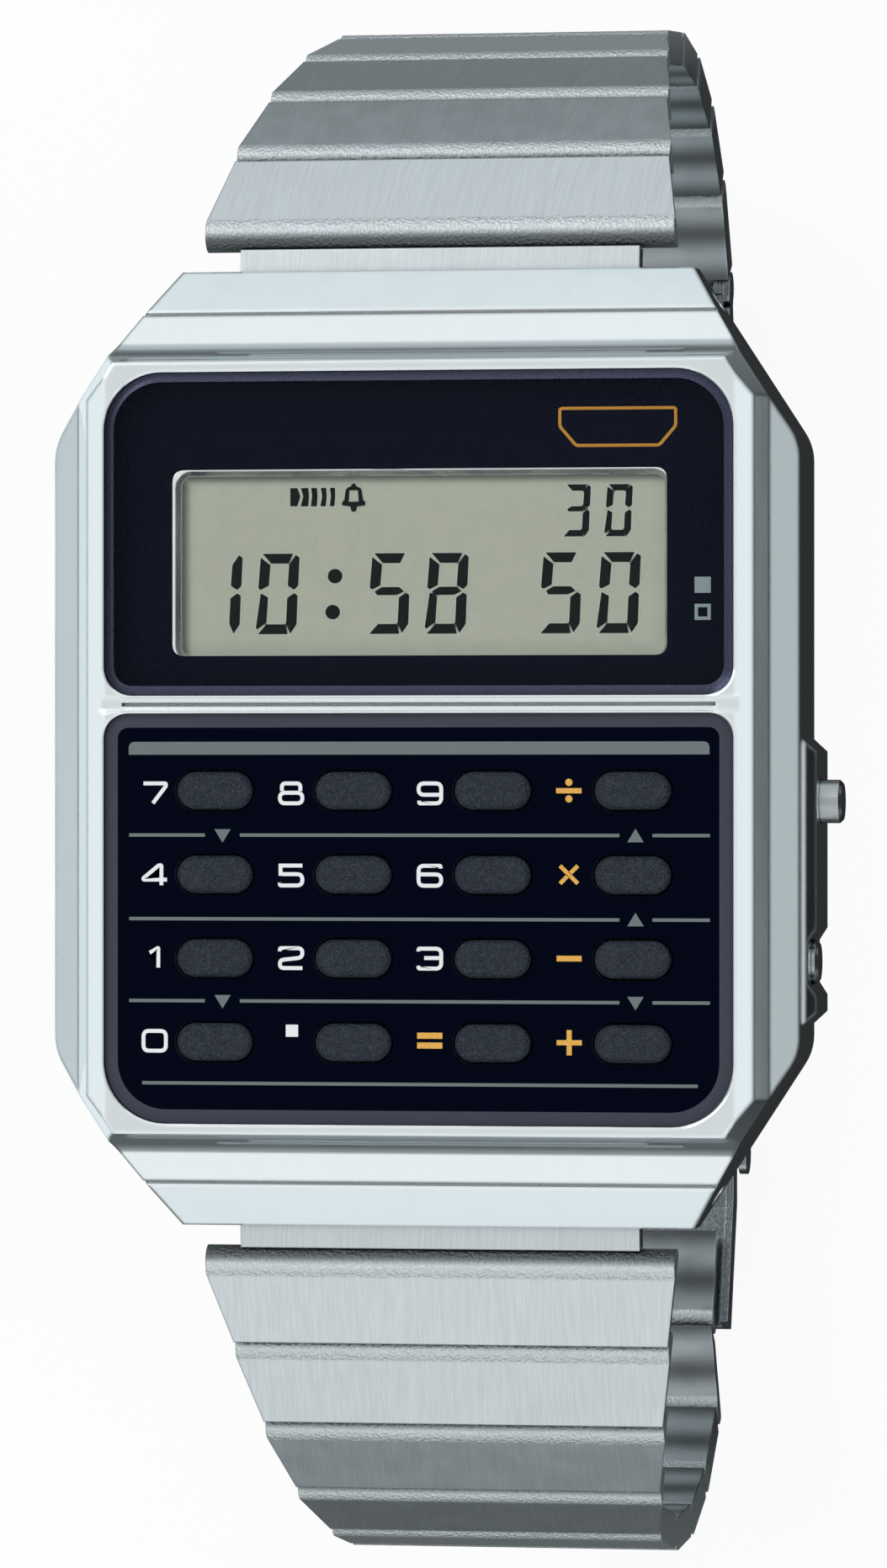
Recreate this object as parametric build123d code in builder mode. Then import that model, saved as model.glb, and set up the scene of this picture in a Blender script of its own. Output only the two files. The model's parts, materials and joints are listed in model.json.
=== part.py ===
from build123d import *
import os
from math import atan2, cos, degrees, hypot, radians, sin

os.makedirs("parts", exist_ok=True)

# All lengths are millimetres. The dial faces up along +Z, 12 o'clock is +Y, 3 o'clock is +X.
# The closed bracelet stands on its clasp, so depths are counted down from the top of the case.

# Whole watch
case_length = 43.2
case_width = 33.8
overrun = 0.5

# Case outline, and the steps of its faces, each counted on from the one before
corner_cut_width = 5.2
corner_cut_length = 8.0
corner_radius = 2.4
side_rim_width = 2.7
bezel_rim_width = 0.87
bezel_slope_width = 0.55
bezel_edge_depth = 0.33
upper_slope_depth = 0.99
shoulder_slope_depth = 0.77
end_run_length = 4.35
step_run_length = 0.1
step_depth = 0.35
slope_run_length = 0.85
slope_drop_depth = 1.75
hollow_bulge_depth = 0.1
seam_run_length = 1.3
seam_drop_depth = 1.05
seam_width = 0.14
seam_cut_depth = 0.3
end_drop_depth = 2.25
corner_slope_width = 0.6
corner_slope_depth = 1.3
wall_height = 1.9
edge_round = 0.18

# Divider bar between the two windows
divider_low = 1.53
divider_high = 2.35
divider_slit_width = 0.16
divider_slit_depth = 0.35
divider_slit_inset = 0.8
divider_groove_depth = 0.08
divider_groove_inset = 0.1

# Display window and keypad panel
pane_margin_width = 0.47
window_top_radius = 2.6
window_low_radius = 1.3
panel_top_radius = 1.1
panel_low_radius = 2.8
window_drop = 0.1
window_thickness = 1.1
panel_thickness = 0.9
window_bevel = 0.42
panel_bevel = 0.62
panel_bevel_depth = 0.2
pane_fit = 0.02
ledge = 0.7

# Case cavity
cavity_end_inset = 0.18
cavity_radius = 4.5
cavity_depth = 1.9

# Keys: their pitches and first place as shares of the panel
key_column_share = 0.22137
key_first_column_share = 0.32254
key_row_share = 0.20426
key_first_row_share = 0.18788
key_length = 3.45
key_width = 1.7
key_gap = 0.09
key_proud = 0.16
key_round = 0.3
key_travel = 0.4
key_flange = 0.3
key_flange_rim = 0.25
key_seat_gap = 0.05
dome_gap = 0.1

# Liquid crystal display
lcd_width_share = 0.77113
lcd_height_share = 0.55925
lcd_centre_share = 0.40089
lcd_rim = 0.5
lcd_corner_radius = 0.5
lcd_rim_bevel = 0.25
lcd_side_margin = 0.65
lcd_end_margin = 0.965
lcd_thickness = 1.1
zebra_width = 0.8
zebra_inset = 0.3

# Module
module_gap = 0.1
frame_wall = 0.6
frame_bottom_depth = 5.8
board_depth = 3.4
board_thickness = 0.6
board_gap = 0.1
pocket_gap = 0.1
rubber_margin = 2.33
dome_radius = 0.75
chip_size_share = 0.75
chip_height = 1.0
chip_x = -4.0
crystal_radius = 0.75
crystal_length = 6.0
crystal_x = 6.0
crystal_place_share = 0.68
capacitor_size = 1.6
capacitor_pitch = 3.0
capacitor_place_share = 0.26
battery_side_gap = 2.7
battery_end_gap = 1.8
battery_thickness = 1.6
battery_step = 0.35
battery_rim = 0.9
battery_gap = 0.2
clamp_width = 6.0
clamp_thickness = 0.15
buzzer_radius = 7.0
buzzer_thickness = 0.2

# Case back
back_thickness = 0.8
back_side_inset = 1.5
back_end_inset = 3.8
back_inset = 0.4
back_bevel = 0.25
screw_side_offset = 0.1
screw_end_inset = 0.5
screw_radius = 0.45
screw_head_radius = 0.7
screw_head_height = 0.4
screw_length = 2.6
screw_slot_width = 0.25
screw_slot_depth = 0.2
gasket_inset = 0.3
gasket_width = 0.5
gasket_height = 0.5

# Side buttons and their guard
guard_reach = 0.65
guard_high_y = 0.45
guard_low_y = -12.4
guard_slope = 0.6
guard_notch_high = -8.05
guard_notch_low = -11.05
guard_notch_slope = 0.55
guard_notch_reach = 0.3
guard_top_depth = 2.45
guard_bottom_depth = 6.9
guard_bevel = 0.5
guard_root = 1.0
button_depth = 4.65
mode_button_y = -2.39
adjust_button_y = -9.55
button_head_radius = 0.97
button_head_gap = 0.08
button_shaft_radius = 0.5
shaft_gap = 0.05
mode_button_reach = 1.65
adjust_button_reach = 0.6
button_travel = 0.6
button_round = 0.15
button_head_sink = 0.75
button_end_gap = 0.2
clip_radius = 1.0
clip_thickness = 0.25
clip_gap = 0.15
clip_seat_depth = 0.8
seal_radius = 0.85
seal_width = 0.35
seal_seat_depth = 1.35
contact_thickness = 0.15
contact_width = 1.6
contact_height = 1.3
frame_slot_half = 1.35

# Spring bars and end pieces
bar_end_inset = 1.5
bar_depth = 6.3
bar_radius = 0.7
bar_gap = 0.05
bar_tip_radius = 0.4
bar_end_gap = 0.05
bar_tip_inset = 0.32
end_piece_width = 18.3
end_piece_gap = 0.2
end_piece_thickness = 1.0
end_eye_radius = 1.0
end_eye_gap = 0.2
end_piece_pin_gap = 0.9
end_slot_rise = 0.1

# Bracelet links: pitch, thickness and the tilt of each link below the dial plane, from the case outwards
link_pitch = 5.2
link_thickness = 1.6
link_wall = 0.3
link_gap = 0.1
link_side_wall = 0.6
band_width = 21.5
band_end_width = 15.7
band_clasp_width = 14.4
taper_count = 4
first_pin_reach = 1.75
first_pin_depth = 6.6
tongue_width = 8.0
last_tongue_width = 14.0
tongue_thickness = 0.4
tongue_root = 1.2
tongue_gap = 0.2
eye_radius = 0.42
pin_radius = 0.2
pin_gap = 0.05
pin_seat = 0.3
slot_gap = 0.1
band_swing = 8
tilts_12 = (46, 57, 66, 75, 86, 98, 112, 130, 148)
tilts_6 = (40, 42, 53, 66, 80, 93, 108, 125, 145, 160)

# Clasp
rail_gap = 0.25
rail_thickness = 0.4
rail_height = 1.4
plate_thickness = 0.5
plate_level = 1.6
last_pin_height = 3.3231
plate_bend_length = 7.188
plate_pin_gap = 0.9
plate_link_gap = 0.15
cover_gap = 0.2
cover_wall = 0.4
cover_base = 0.6
cover_rise = 2.9
cover_pin_inset = 2.4
cover_end_gap = 1.3
cover_pin_radius = 0.35
cover_ear_radius = 1.0
plate_ear_radius = 0.8
lever_pin_inset = 2.1
lever_pin_level = 0.75
lever_pin_radius = 0.3
lever_knuckle_radius = 0.6
lever_half_width = 5.8
lever_ear_width = 1.2
lever_ear_radius = 0.7
lever_ear_gap = 0.2
lever_reach = 4.8
lever_thickness = 0.45
lever_level = 0.15

# Derived places
side_half = case_width / 2
end_half = case_length / 2
end_half_width = side_half - corner_cut_width
side_half_length = end_half - corner_cut_length
window_half_width = side_half - side_rim_width
bezel_half_width = window_half_width + bezel_rim_width
upper_half_width = bezel_half_width + bezel_slope_width
upper_edge_depth = bezel_edge_depth + upper_slope_depth
shoulder_depth = upper_edge_depth + shoulder_slope_depth
bezel_half_length = end_half - end_run_length
step_half_length = bezel_half_length + step_run_length
slope_half_length = step_half_length + slope_run_length
seam_half_length = slope_half_length + seam_run_length
slope_depth = step_depth + slope_drop_depth
seam_depth = slope_depth + seam_drop_depth
end_depth = seam_depth + end_drop_depth
wall_depth = end_depth + wall_height
window_low = divider_high
window_top = bezel_half_length - pane_margin_width
panel_top = divider_low
panel_bottom = -window_top
cavity_half_width = window_half_width - ledge
cavity_half_length = window_top - cavity_end_inset
key_column_pitch = 2 * window_half_width * key_column_share
key_first_x = -2 * window_half_width * key_first_column_share
key_row_pitch = (panel_top - panel_bottom) * key_row_share
key_first_y = panel_top - (panel_top - panel_bottom) * key_first_row_share
lcd_view_width = 2 * window_half_width * lcd_width_share
lcd_view_height = (window_top - window_low) * lcd_height_share
lcd_centre_y = window_low + (window_top - window_low) * lcd_centre_share
lcd_width = lcd_view_width + 2 * lcd_side_margin
lcd_height = lcd_view_height + 2 * lcd_end_margin
back_half_width = side_half - back_side_inset
back_half_length = end_half - back_end_inset
screw_x = cavity_half_width + screw_side_offset
screw_y = cavity_half_length - screw_end_inset
mode_button_tip = side_half + mode_button_reach
adjust_button_tip = side_half + adjust_button_reach
button_head_base = side_half - button_head_sink
button_inner_end = cavity_half_width + button_end_gap
clip_seat_x = cavity_half_width + clip_seat_depth
seal_x = cavity_half_width + seal_seat_depth
bar_y = end_half - bar_end_inset
bar_half_length = end_piece_width / 2 - bar_end_gap
first_pin_y = end_half + first_pin_reach
last_pin_depth = first_pin_depth + link_pitch * sum(sin(radians(tilt)) for tilt in tilts_6[:-1])
plate_mid = plate_level + plate_thickness / 2
watch_height = plate_mid + last_pin_height + last_pin_depth
link_radius = link_thickness / 2
hollow_radius = link_radius - link_wall
clasp_inner_half = band_clasp_width / 2 + rail_gap


def level(depth):
    """Height above the table of a point at a depth below the top of the case."""
    return watch_height - depth


def diagonal_y(x, inset):
    """Y of the line that cuts the case's corner, moved inwards by an inset, at a given X."""
    run = side_half - end_half_width
    rise = end_half - side_half_length
    shift = inset * hypot(run, rise) / run
    return end_half - (x - end_half_width) * rise / run - shift


def diagonal_x(y, inset):
    """X of the same line at a given Y."""
    run = side_half - end_half_width
    rise = end_half - side_half_length
    shift = inset * hypot(run, rise) / rise
    return end_half_width + (end_half - y) * run / rise - shift


def save(shape, name):
    shape.label = name
    export_step(shape, f"parts/{name}.step")


def save_group(solids, name):
    save(Compound(children=solids), name)


def octagon(half_x, half_y, corner_x, corner_y):
    """The corners of a rectangle with its four corners cut straight."""
    quarter = [(corner_x, half_y), (half_x, corner_y)]
    right = quarter + [(x, -y) for x, y in reversed(quarter)]
    return right + [(-x, y) for x, y in reversed(right)]


def pane(sketch, low, high, low_radius, high_radius, shrink):
    """Draws a window whose lower and upper corners have their own radii into a sketch."""
    with Locations((0, (low + high) / 2)):
        Rectangle(2 * (window_half_width - shrink), high - low - 2 * shrink)
    fillet(sketch.vertices().group_by(Axis.Y)[0], radius=max(low_radius - shrink, edge_round))
    fillet(sketch.vertices().group_by(Axis.Y)[-1], radius=max(high_radius - shrink, edge_round))


# Keys: their names and places, row by row from the top left
key_names = (
    ("7", "8", "9", "divide"),
    ("4", "5", "6", "times"),
    ("1", "2", "3", "minus"),
    ("0", "point", "equals", "plus"),
)
key_places = {
    name: (key_first_x + column * key_column_pitch, key_first_y - row * key_row_pitch)
    for row, names in enumerate(key_names)
    for column, name in enumerate(names)
}

# Case: the outline from above, then its profile across and along
with BuildPart() as case:
    with BuildSketch(Plane.XY.offset(level(wall_depth))) as outline:
        Polygon(*octagon(side_half, end_half, end_half_width, side_half_length), align=None)
        fillet(
            outline.vertices().filter_by(lambda corner: abs(corner.X) > upper_half_width),
            radius=corner_radius,
        )
    extrude(amount=wall_depth)
    with BuildSketch(Plane.XZ):
        across = [
            (window_half_width, level(0)), (bezel_half_width, level(bezel_edge_depth)),
            (upper_half_width, level(upper_edge_depth)), (side_half, level(shoulder_depth)),
            (side_half, level(wall_depth)),
        ]
        Polygon(*across, *[(-x, z) for x, z in reversed(across)], align=None)
    extrude(amount=end_half, both=True, mode=Mode.INTERSECT)
    with BuildSketch(Plane.YZ):
        with BuildLine():
            for side in (1, -1):
                crown = (0, level(0))
                bezel_end = (side * bezel_half_length, level(0))
                step_end = (side * step_half_length, level(step_depth))
                slope_top = (side * slope_half_length, level(slope_depth))
                middle = (
                    side * ((step_half_length + slope_half_length) / 2 - hollow_bulge_depth),
                    level((step_depth + slope_depth) / 2 + hollow_bulge_depth),
                )
                seam = (side * seam_half_length, level(seam_depth))
                end_top = (side * end_half, level(end_depth))
                end_low = (side * end_half, level(wall_depth))
                Polyline(crown, bezel_end, step_end)
                ThreePointArc(step_end, middle, slope_top)
                Polyline(slope_top, seam, end_top, end_low, (0, level(wall_depth)))
        make_face()
    extrude(amount=side_half, both=True, mode=Mode.INTERSECT)
    # Slopes along the four cut corners, between the bezel and the wall
    cut_run = side_half - end_half_width
    cut_rise = end_half - side_half_length
    cut_middle_x = (side_half + end_half_width) / 2
    cut_middle_y = (end_half + side_half_length) / 2
    lip_depth = corner_slope_depth * overrun / corner_slope_width
    for side_x in (1, -1):
        for side_y in (1, -1):
            corner_plane = Plane(
                origin=(side_x * cut_middle_x, side_y * cut_middle_y, level(0)),
                x_dir=(side_x * cut_rise, side_y * cut_run, 0),
                z_dir=(side_y * cut_run, -side_x * cut_rise, 0),
            )
            with BuildSketch(corner_plane):
                Polygon(
                    (-corner_slope_width, 0),
                    (overrun, -(corner_slope_depth + lip_depth)),
                    (overrun, overrun),
                    (-corner_slope_width, overrun),
                    align=None,
                )
            extrude(amount=hypot(cut_run, cut_rise), both=True, mode=Mode.SUBTRACT)
    # Guard of the side buttons, with a notch round the recessed one
    with BuildSketch(Plane.XY.offset(level(guard_bottom_depth))):
        reach = side_half + guard_reach
        notch = side_half + guard_notch_reach
        with BuildLine():
            Polyline(
                (side_half - guard_root, guard_high_y),
                (side_half, guard_high_y),
                (reach, guard_high_y - guard_slope),
                (reach, guard_notch_high),
                (notch, guard_notch_high - guard_notch_slope),
                (notch, guard_notch_low + guard_notch_slope),
                (reach, guard_notch_low),
                (reach, guard_low_y + guard_slope),
                (side_half, guard_low_y),
                (side_half - guard_root, guard_low_y),
                close=True,
            )
        make_face()
    extrude(amount=guard_bottom_depth - guard_top_depth)
    with BuildSketch(Plane.XZ):
        bevel = [
            (reach + overrun, level(guard_top_depth - overrun)),
            (reach - guard_bevel, level(guard_top_depth - overrun)),
            (reach - guard_bevel, level(guard_top_depth)),
            (reach, level(guard_top_depth + guard_bevel)),
            (reach + overrun, level(guard_top_depth + guard_bevel)),
        ]
        Polygon(*bevel, align=None)
    extrude(amount=side_half_length, both=True, mode=Mode.SUBTRACT)
    # Seam lines across both ends and the slit in the divider bar
    for side in (1, -1):
        with BuildSketch(Plane.XY.offset(level(seam_depth + seam_cut_depth))):
            with Locations((0, side * (seam_half_length + seam_width / 2))):
                Rectangle(case_width, seam_width)
        extrude(amount=seam_depth + seam_cut_depth, mode=Mode.SUBTRACT)
    with BuildSketch(Plane.XY.offset(level(divider_slit_depth))):
        with Locations((0, (divider_low + divider_high) / 2)):
            Rectangle(2 * (window_half_width - divider_slit_inset), divider_slit_width)
    extrude(amount=divider_slit_depth, mode=Mode.SUBTRACT)
    with BuildSketch(Plane.XY.offset(level(divider_groove_depth))):
        with Locations((0, (divider_low + divider_high) / 2)):
            groove_width = divider_high - divider_low - 2 * divider_groove_inset
            Rectangle(2 * upper_half_width, groove_width)
    extrude(amount=divider_groove_depth, mode=Mode.SUBTRACT)
    # Recesses for the window and the panel, the openings inside their ledges, and the cavity below
    for low, high, low_radius, high_radius, thickness in (
        (window_low, window_top, window_low_radius, window_top_radius, window_thickness),
        (panel_bottom, panel_top, panel_low_radius, panel_top_radius, panel_thickness),
    ):
        with BuildSketch(Plane.XY.offset(level(window_drop + thickness))) as recess:
            pane(recess, low, high, low_radius, high_radius, -pane_fit)
        extrude(amount=window_drop + thickness, mode=Mode.SUBTRACT)
        with BuildSketch(Plane.XY.offset(level(cavity_depth))) as opening:
            pane(opening, low, high, low_radius, high_radius, ledge)
        extrude(amount=cavity_depth, mode=Mode.SUBTRACT)
    with BuildSketch(Plane.XY.offset(level(wall_depth))):
        RectangleRounded(2 * cavity_half_width, 2 * cavity_half_length, cavity_radius)
    extrude(amount=wall_depth - cavity_depth, mode=Mode.SUBTRACT)
    # Groove for the gasket and holes for the back's screws
    with BuildSketch(Plane.XY.offset(level(wall_depth))):
        groove_out = gasket_inset + gasket_width
        for offset_out, mode in ((groove_out, Mode.ADD), (gasket_inset, Mode.SUBTRACT)):
            RectangleRounded(
                2 * (cavity_half_width + offset_out),
                2 * (cavity_half_length + offset_out),
                cavity_radius + offset_out,
                mode=mode,
            )
    extrude(amount=gasket_height, mode=Mode.SUBTRACT)
    with BuildSketch(Plane.XY.offset(level(wall_depth))):
        with GridLocations(2 * screw_x, 2 * screw_y, 2, 2):
            Circle(screw_radius)
    extrude(amount=screw_length - back_thickness, mode=Mode.SUBTRACT)
    # Bores for the side buttons: head, shaft, seal groove and clip recess
    for button_y in (mode_button_y, adjust_button_y):
        button_plane = Plane(origin=(0, button_y, level(button_depth)), x_dir=(0, 1, 0), z_dir=(1, 0, 0))
        for low_x, high_x, radius in (
            (cavity_half_width - overrun, clip_seat_x, clip_radius + clip_gap),
            (cavity_half_width, side_half, button_shaft_radius + shaft_gap),
            (seal_x, seal_x + seal_width, seal_radius),
            (
                button_head_base - button_travel - clip_gap,
                mode_button_tip,
                button_head_radius + button_head_gap,
            ),
        ):
            with BuildSketch(button_plane.offset(low_x)):
                Circle(radius)
            extrude(amount=high_x - low_x, mode=Mode.SUBTRACT)
    # Pockets for the end pieces and cross holes for the spring bars
    pocket_half = end_piece_width / 2 + end_piece_gap
    for side in (1, -1):
        bar_plane = Plane(origin=(0, side * bar_y, level(bar_depth)), x_dir=(0, side, 0), z_dir=(side, 0, 0))
        with BuildSketch(bar_plane):
            Circle(end_eye_radius + end_eye_gap)
            run = end_half - bar_y + overrun
            rise = end_piece_thickness / 2 + end_slot_rise
            drop = wall_depth - bar_depth + overrun
            with Locations((run / 2, (rise - drop) / 2)):
                Rectangle(run, rise + drop)
            with Locations((0, -drop / 2)):
                Rectangle(2 * (end_eye_radius + end_eye_gap), drop)
        extrude(amount=pocket_half, both=True, mode=Mode.SUBTRACT)
        with BuildSketch(bar_plane):
            Circle(bar_tip_radius + bar_gap)
        extrude(amount=side_half, both=True, mode=Mode.SUBTRACT)
save(case.part, "case")

# Display window and keypad panel
with BuildPart() as display_window:
    with BuildSketch(Plane.XY.offset(level(window_drop + window_thickness))) as outline:
        pane(outline, window_low, window_top, window_low_radius, window_top_radius, 0)
    extrude(amount=window_thickness)
    chamfer(display_window.edges().group_by(Axis.Z)[-1], length=window_bevel / 2, length2=window_bevel)
save(display_window.part, "display_window")

with BuildPart() as keypad_panel:
    with BuildSketch(Plane.XY.offset(level(window_drop + panel_thickness))) as outline:
        pane(outline, panel_bottom, panel_top, panel_low_radius, panel_top_radius, 0)
    extrude(amount=panel_thickness)
    chamfer(keypad_panel.edges().group_by(Axis.Z)[-1], length=panel_bevel_depth, length2=panel_bevel)
    with BuildSketch(Plane.XY.offset(level(window_drop + panel_thickness))):
        with Locations(*key_places.values()):
            SlotOverall(key_length + 2 * key_gap, key_width + 2 * key_gap)
    extrude(amount=panel_thickness, mode=Mode.SUBTRACT)
save(keypad_panel.part, "keypad_panel")

# Keys: a domed cap with a flange that stops under the panel
flange_depth = window_drop + panel_thickness + key_seat_gap
for key_name, key_place in key_places.items():
    with BuildPart() as key:
        with BuildSketch(Plane.XY.offset(level(flange_depth + key_flange))):
            with Locations(key_place):
                SlotOverall(key_length + 2 * key_flange_rim, key_width + 2 * key_flange_rim)
        extrude(amount=key_flange)
        with BuildSketch(Plane.XY.offset(level(flange_depth))):
            with Locations(key_place):
                SlotOverall(key_length, key_width)
        extrude(amount=flange_depth - window_drop + key_proud)
        fillet(key.edges().group_by(Axis.Z)[-1], radius=key_round)
    save(key.part, f"key_{key_name}")

# Display: silver frame under the window, glass panel and its two zebra strips
frame_depth = window_drop + window_thickness
lcd_depth = cavity_depth
with BuildPart() as lcd_frame:
    with BuildSketch(Plane.XY.offset(level(lcd_depth))):
        with Locations((0, lcd_centre_y)):
            RectangleRounded(
                lcd_view_width + 2 * lcd_rim, lcd_view_height + 2 * lcd_rim, lcd_corner_radius + lcd_rim
            )
            RectangleRounded(lcd_view_width, lcd_view_height, lcd_corner_radius, mode=Mode.SUBTRACT)
    extrude(amount=lcd_depth - frame_depth)
    view_face = lcd_frame.faces().sort_by(Axis.Z)[-1]
    chamfer(view_face.inner_wires()[0].edges(), length=lcd_rim_bevel)
save(lcd_frame.part, "lcd_frame")

with BuildPart() as lcd_panel:
    with BuildSketch(Plane.XY.offset(level(lcd_depth + lcd_thickness))):
        with Locations((0, lcd_centre_y)):
            Rectangle(lcd_width, lcd_height)
    extrude(amount=lcd_thickness)
save(lcd_panel.part, "lcd_panel")

zebra_height = board_depth - lcd_depth - lcd_thickness
with BuildPart() as zebra_connectors:
    with BuildSketch(Plane.XY.offset(level(board_depth))):
        with Locations((0, lcd_centre_y)):
            with GridLocations(0, lcd_height - 2 * zebra_width, 1, 2):
                Rectangle(lcd_view_width - 2 * zebra_inset, zebra_width)
    extrude(amount=zebra_height)
save(zebra_connectors.part, "zebra_connectors")

# Module frame: an open block that holds the display, the rubber, the board and the battery
module_half_width = cavity_half_width - module_gap
module_half_length = cavity_half_length - module_gap
module_radius = cavity_radius - module_gap
frame_top_depth = cavity_depth + module_gap
rubber_high = key_first_y + rubber_margin
rubber_low = key_first_y - (len(key_names) - 1) * key_row_pitch - rubber_margin
with BuildPart() as module_frame:
    with BuildSketch(Plane.XY.offset(level(frame_bottom_depth))):
        RectangleRounded(2 * module_half_width, 2 * module_half_length, module_radius)
    extrude(amount=frame_bottom_depth - frame_top_depth)
    with BuildSketch(Plane.XY.offset(level(frame_bottom_depth))):
        RectangleRounded(
            2 * (module_half_width - frame_wall),
            2 * (module_half_length - frame_wall),
            module_radius - frame_wall,
        )
    extrude(amount=frame_bottom_depth - board_depth, mode=Mode.SUBTRACT)
    with BuildSketch(Plane.XY.offset(level(board_depth))):
        with Locations((0, lcd_centre_y)):
            Rectangle(lcd_width + 2 * pocket_gap, lcd_height + 2 * pocket_gap)
        with Locations((0, (rubber_low + rubber_high) / 2)):
            Rectangle(2 * module_half_width, rubber_high - rubber_low + 2 * pocket_gap)
        RectangleRounded(
            2 * (module_half_width - frame_wall),
            2 * (module_half_length - frame_wall),
            module_radius - frame_wall,
            mode=Mode.INTERSECT,
        )
    extrude(amount=board_depth - frame_top_depth, mode=Mode.SUBTRACT)
    for button_y in (mode_button_y, adjust_button_y):
        with BuildSketch(Plane.XY.offset(level(frame_bottom_depth))):
            with Locations((module_half_width, button_y)):
                Rectangle(2 * (frame_wall + overrun), 2 * frame_slot_half)
        extrude(amount=frame_bottom_depth - board_depth, mode=Mode.SUBTRACT)
save(module_frame.part, "module_frame")

with BuildPart() as keypad_rubber:
    with BuildSketch(Plane.XY.offset(level(board_depth))):
        with Locations((0, (rubber_low + rubber_high) / 2)):
            Rectangle(2 * module_half_width, rubber_high - rubber_low)
        RectangleRounded(
            2 * (module_half_width - frame_wall - pocket_gap),
            2 * (module_half_length - frame_wall - pocket_gap),
            module_radius - frame_wall - pocket_gap,
            mode=Mode.INTERSECT,
        )
    extrude(amount=board_depth - frame_top_depth)
    dome_top = flange_depth + key_flange + key_travel + dome_gap
    with BuildSketch(Plane.XY.offset(level(frame_top_depth))):
        with Locations(*key_places.values()):
            Circle(dome_radius)
    extrude(amount=frame_top_depth - dome_top)
save(keypad_rubber.part, "keypad_rubber")

# Circuit board and what is soldered to its underside, above the battery's place
board_half_width = module_half_width - frame_wall - board_gap
board_half_length = module_half_length - frame_wall - board_gap
board_low = board_depth + board_thickness
battery_radius = board_half_width - battery_side_gap
battery_y = battery_radius + battery_end_gap - board_half_length
free_low = battery_y + battery_radius
free_length = board_half_length - free_low
with BuildPart() as circuit_board:
    with BuildSketch(Plane.XY.offset(level(board_low))):
        RectangleRounded(2 * board_half_width, 2 * board_half_length, module_radius - frame_wall - board_gap)
    extrude(amount=board_thickness)
save(circuit_board.part, "circuit_board")

with BuildPart() as board_components:
    with BuildSketch(Plane.XY.offset(level(board_low + chip_height))):
        with Locations((chip_x, free_low + free_length / 2)):
            Rectangle(free_length * chip_size_share, free_length * chip_size_share)
    extrude(amount=chip_height)
    with BuildSketch(Plane.XY.offset(level(board_low + capacitor_size / 2))):
        with Locations((crystal_x, free_low + free_length * capacitor_place_share)):
            with GridLocations(capacitor_pitch, 0, 2, 1):
                Rectangle(capacitor_size, capacitor_size / 2)
    extrude(amount=capacitor_size / 2)
    with BuildSketch(Plane.YZ.offset(crystal_x - crystal_length / 2)):
        with Locations((free_low + free_length * crystal_place_share, level(board_low + crystal_radius))):
            Circle(crystal_radius)
    extrude(amount=crystal_length)
save(board_components.part, "board_components")

# Leaf contacts that the side buttons press against the board's edge
with BuildPart() as button_contacts:
    with BuildSketch(Plane.XY.offset(level(board_low + contact_height))):
        with Locations((board_half_width - contact_thickness / 2, (mode_button_y + adjust_button_y) / 2)):
            with GridLocations(0, mode_button_y - adjust_button_y, 1, 2):
                Rectangle(contact_thickness, contact_width)
    extrude(amount=contact_height)
save(button_contacts.part, "button_contacts")

# Battery, the clamp across it and the buzzer on the case back
battery_depth = board_low + battery_gap
battery_plane = Plane.XY.offset(level(battery_depth + battery_thickness))
with BuildPart() as battery:
    with BuildSketch(battery_plane.offset(battery_step)):
        with Locations((0, battery_y)):
            Circle(battery_radius - battery_rim)
    extrude(amount=battery_thickness - battery_step)
    with BuildSketch(battery_plane):
        with Locations((0, battery_y)):
            Circle(battery_radius)
    extrude(amount=battery_thickness - battery_step)
save(battery.part, "battery")

with BuildPart() as battery_clamp:
    with BuildSketch(Plane.XY.offset(level(frame_bottom_depth + clamp_thickness))):
        with Locations((0, battery_y)):
            Rectangle(2 * module_half_width - frame_wall, clamp_width)
    extrude(amount=clamp_thickness)
save(battery_clamp.part, "battery_clamp")

with BuildPart() as buzzer:
    with BuildSketch(Plane.XY.offset(level(wall_depth))):
        Circle(buzzer_radius)
    extrude(amount=buzzer_thickness)
save(buzzer.part, "buzzer")

# Case back, its gasket and its screws. The gasket is saved with the buttons' seals.
with BuildPart() as back_gasket:
    with BuildSketch(Plane.XY.offset(level(wall_depth))):
        for offset_out, mode in ((gasket_inset + gasket_width, Mode.ADD), (gasket_inset, Mode.SUBTRACT)):
            RectangleRounded(
                2 * (cavity_half_width + offset_out),
                2 * (cavity_half_length + offset_out),
                cavity_radius + offset_out,
                mode=mode,
            )
    extrude(amount=gasket_height)

back_depth = wall_depth + back_thickness
with BuildPart() as case_back:
    with BuildSketch(Plane.XY.offset(level(back_depth))):
        back_outline = octagon(
            back_half_width,
            back_half_length,
            diagonal_x(back_half_length, back_inset),
            diagonal_y(back_half_width, back_inset),
        )
        Polygon(*back_outline, align=None)
    extrude(amount=back_thickness)
    chamfer(case_back.edges().group_by(Axis.Z)[0], length=back_bevel)
    with BuildSketch(Plane.XY.offset(level(back_depth))):
        with GridLocations(2 * screw_x, 2 * screw_y, 2, 2):
            Circle(screw_head_radius)
    extrude(amount=screw_head_height, mode=Mode.SUBTRACT)
    with BuildSketch(Plane.XY.offset(level(back_depth))):
        with GridLocations(2 * screw_x, 2 * screw_y, 2, 2):
            Circle(screw_radius)
    extrude(amount=back_thickness, mode=Mode.SUBTRACT)
save(case_back.part, "case_back")

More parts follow.
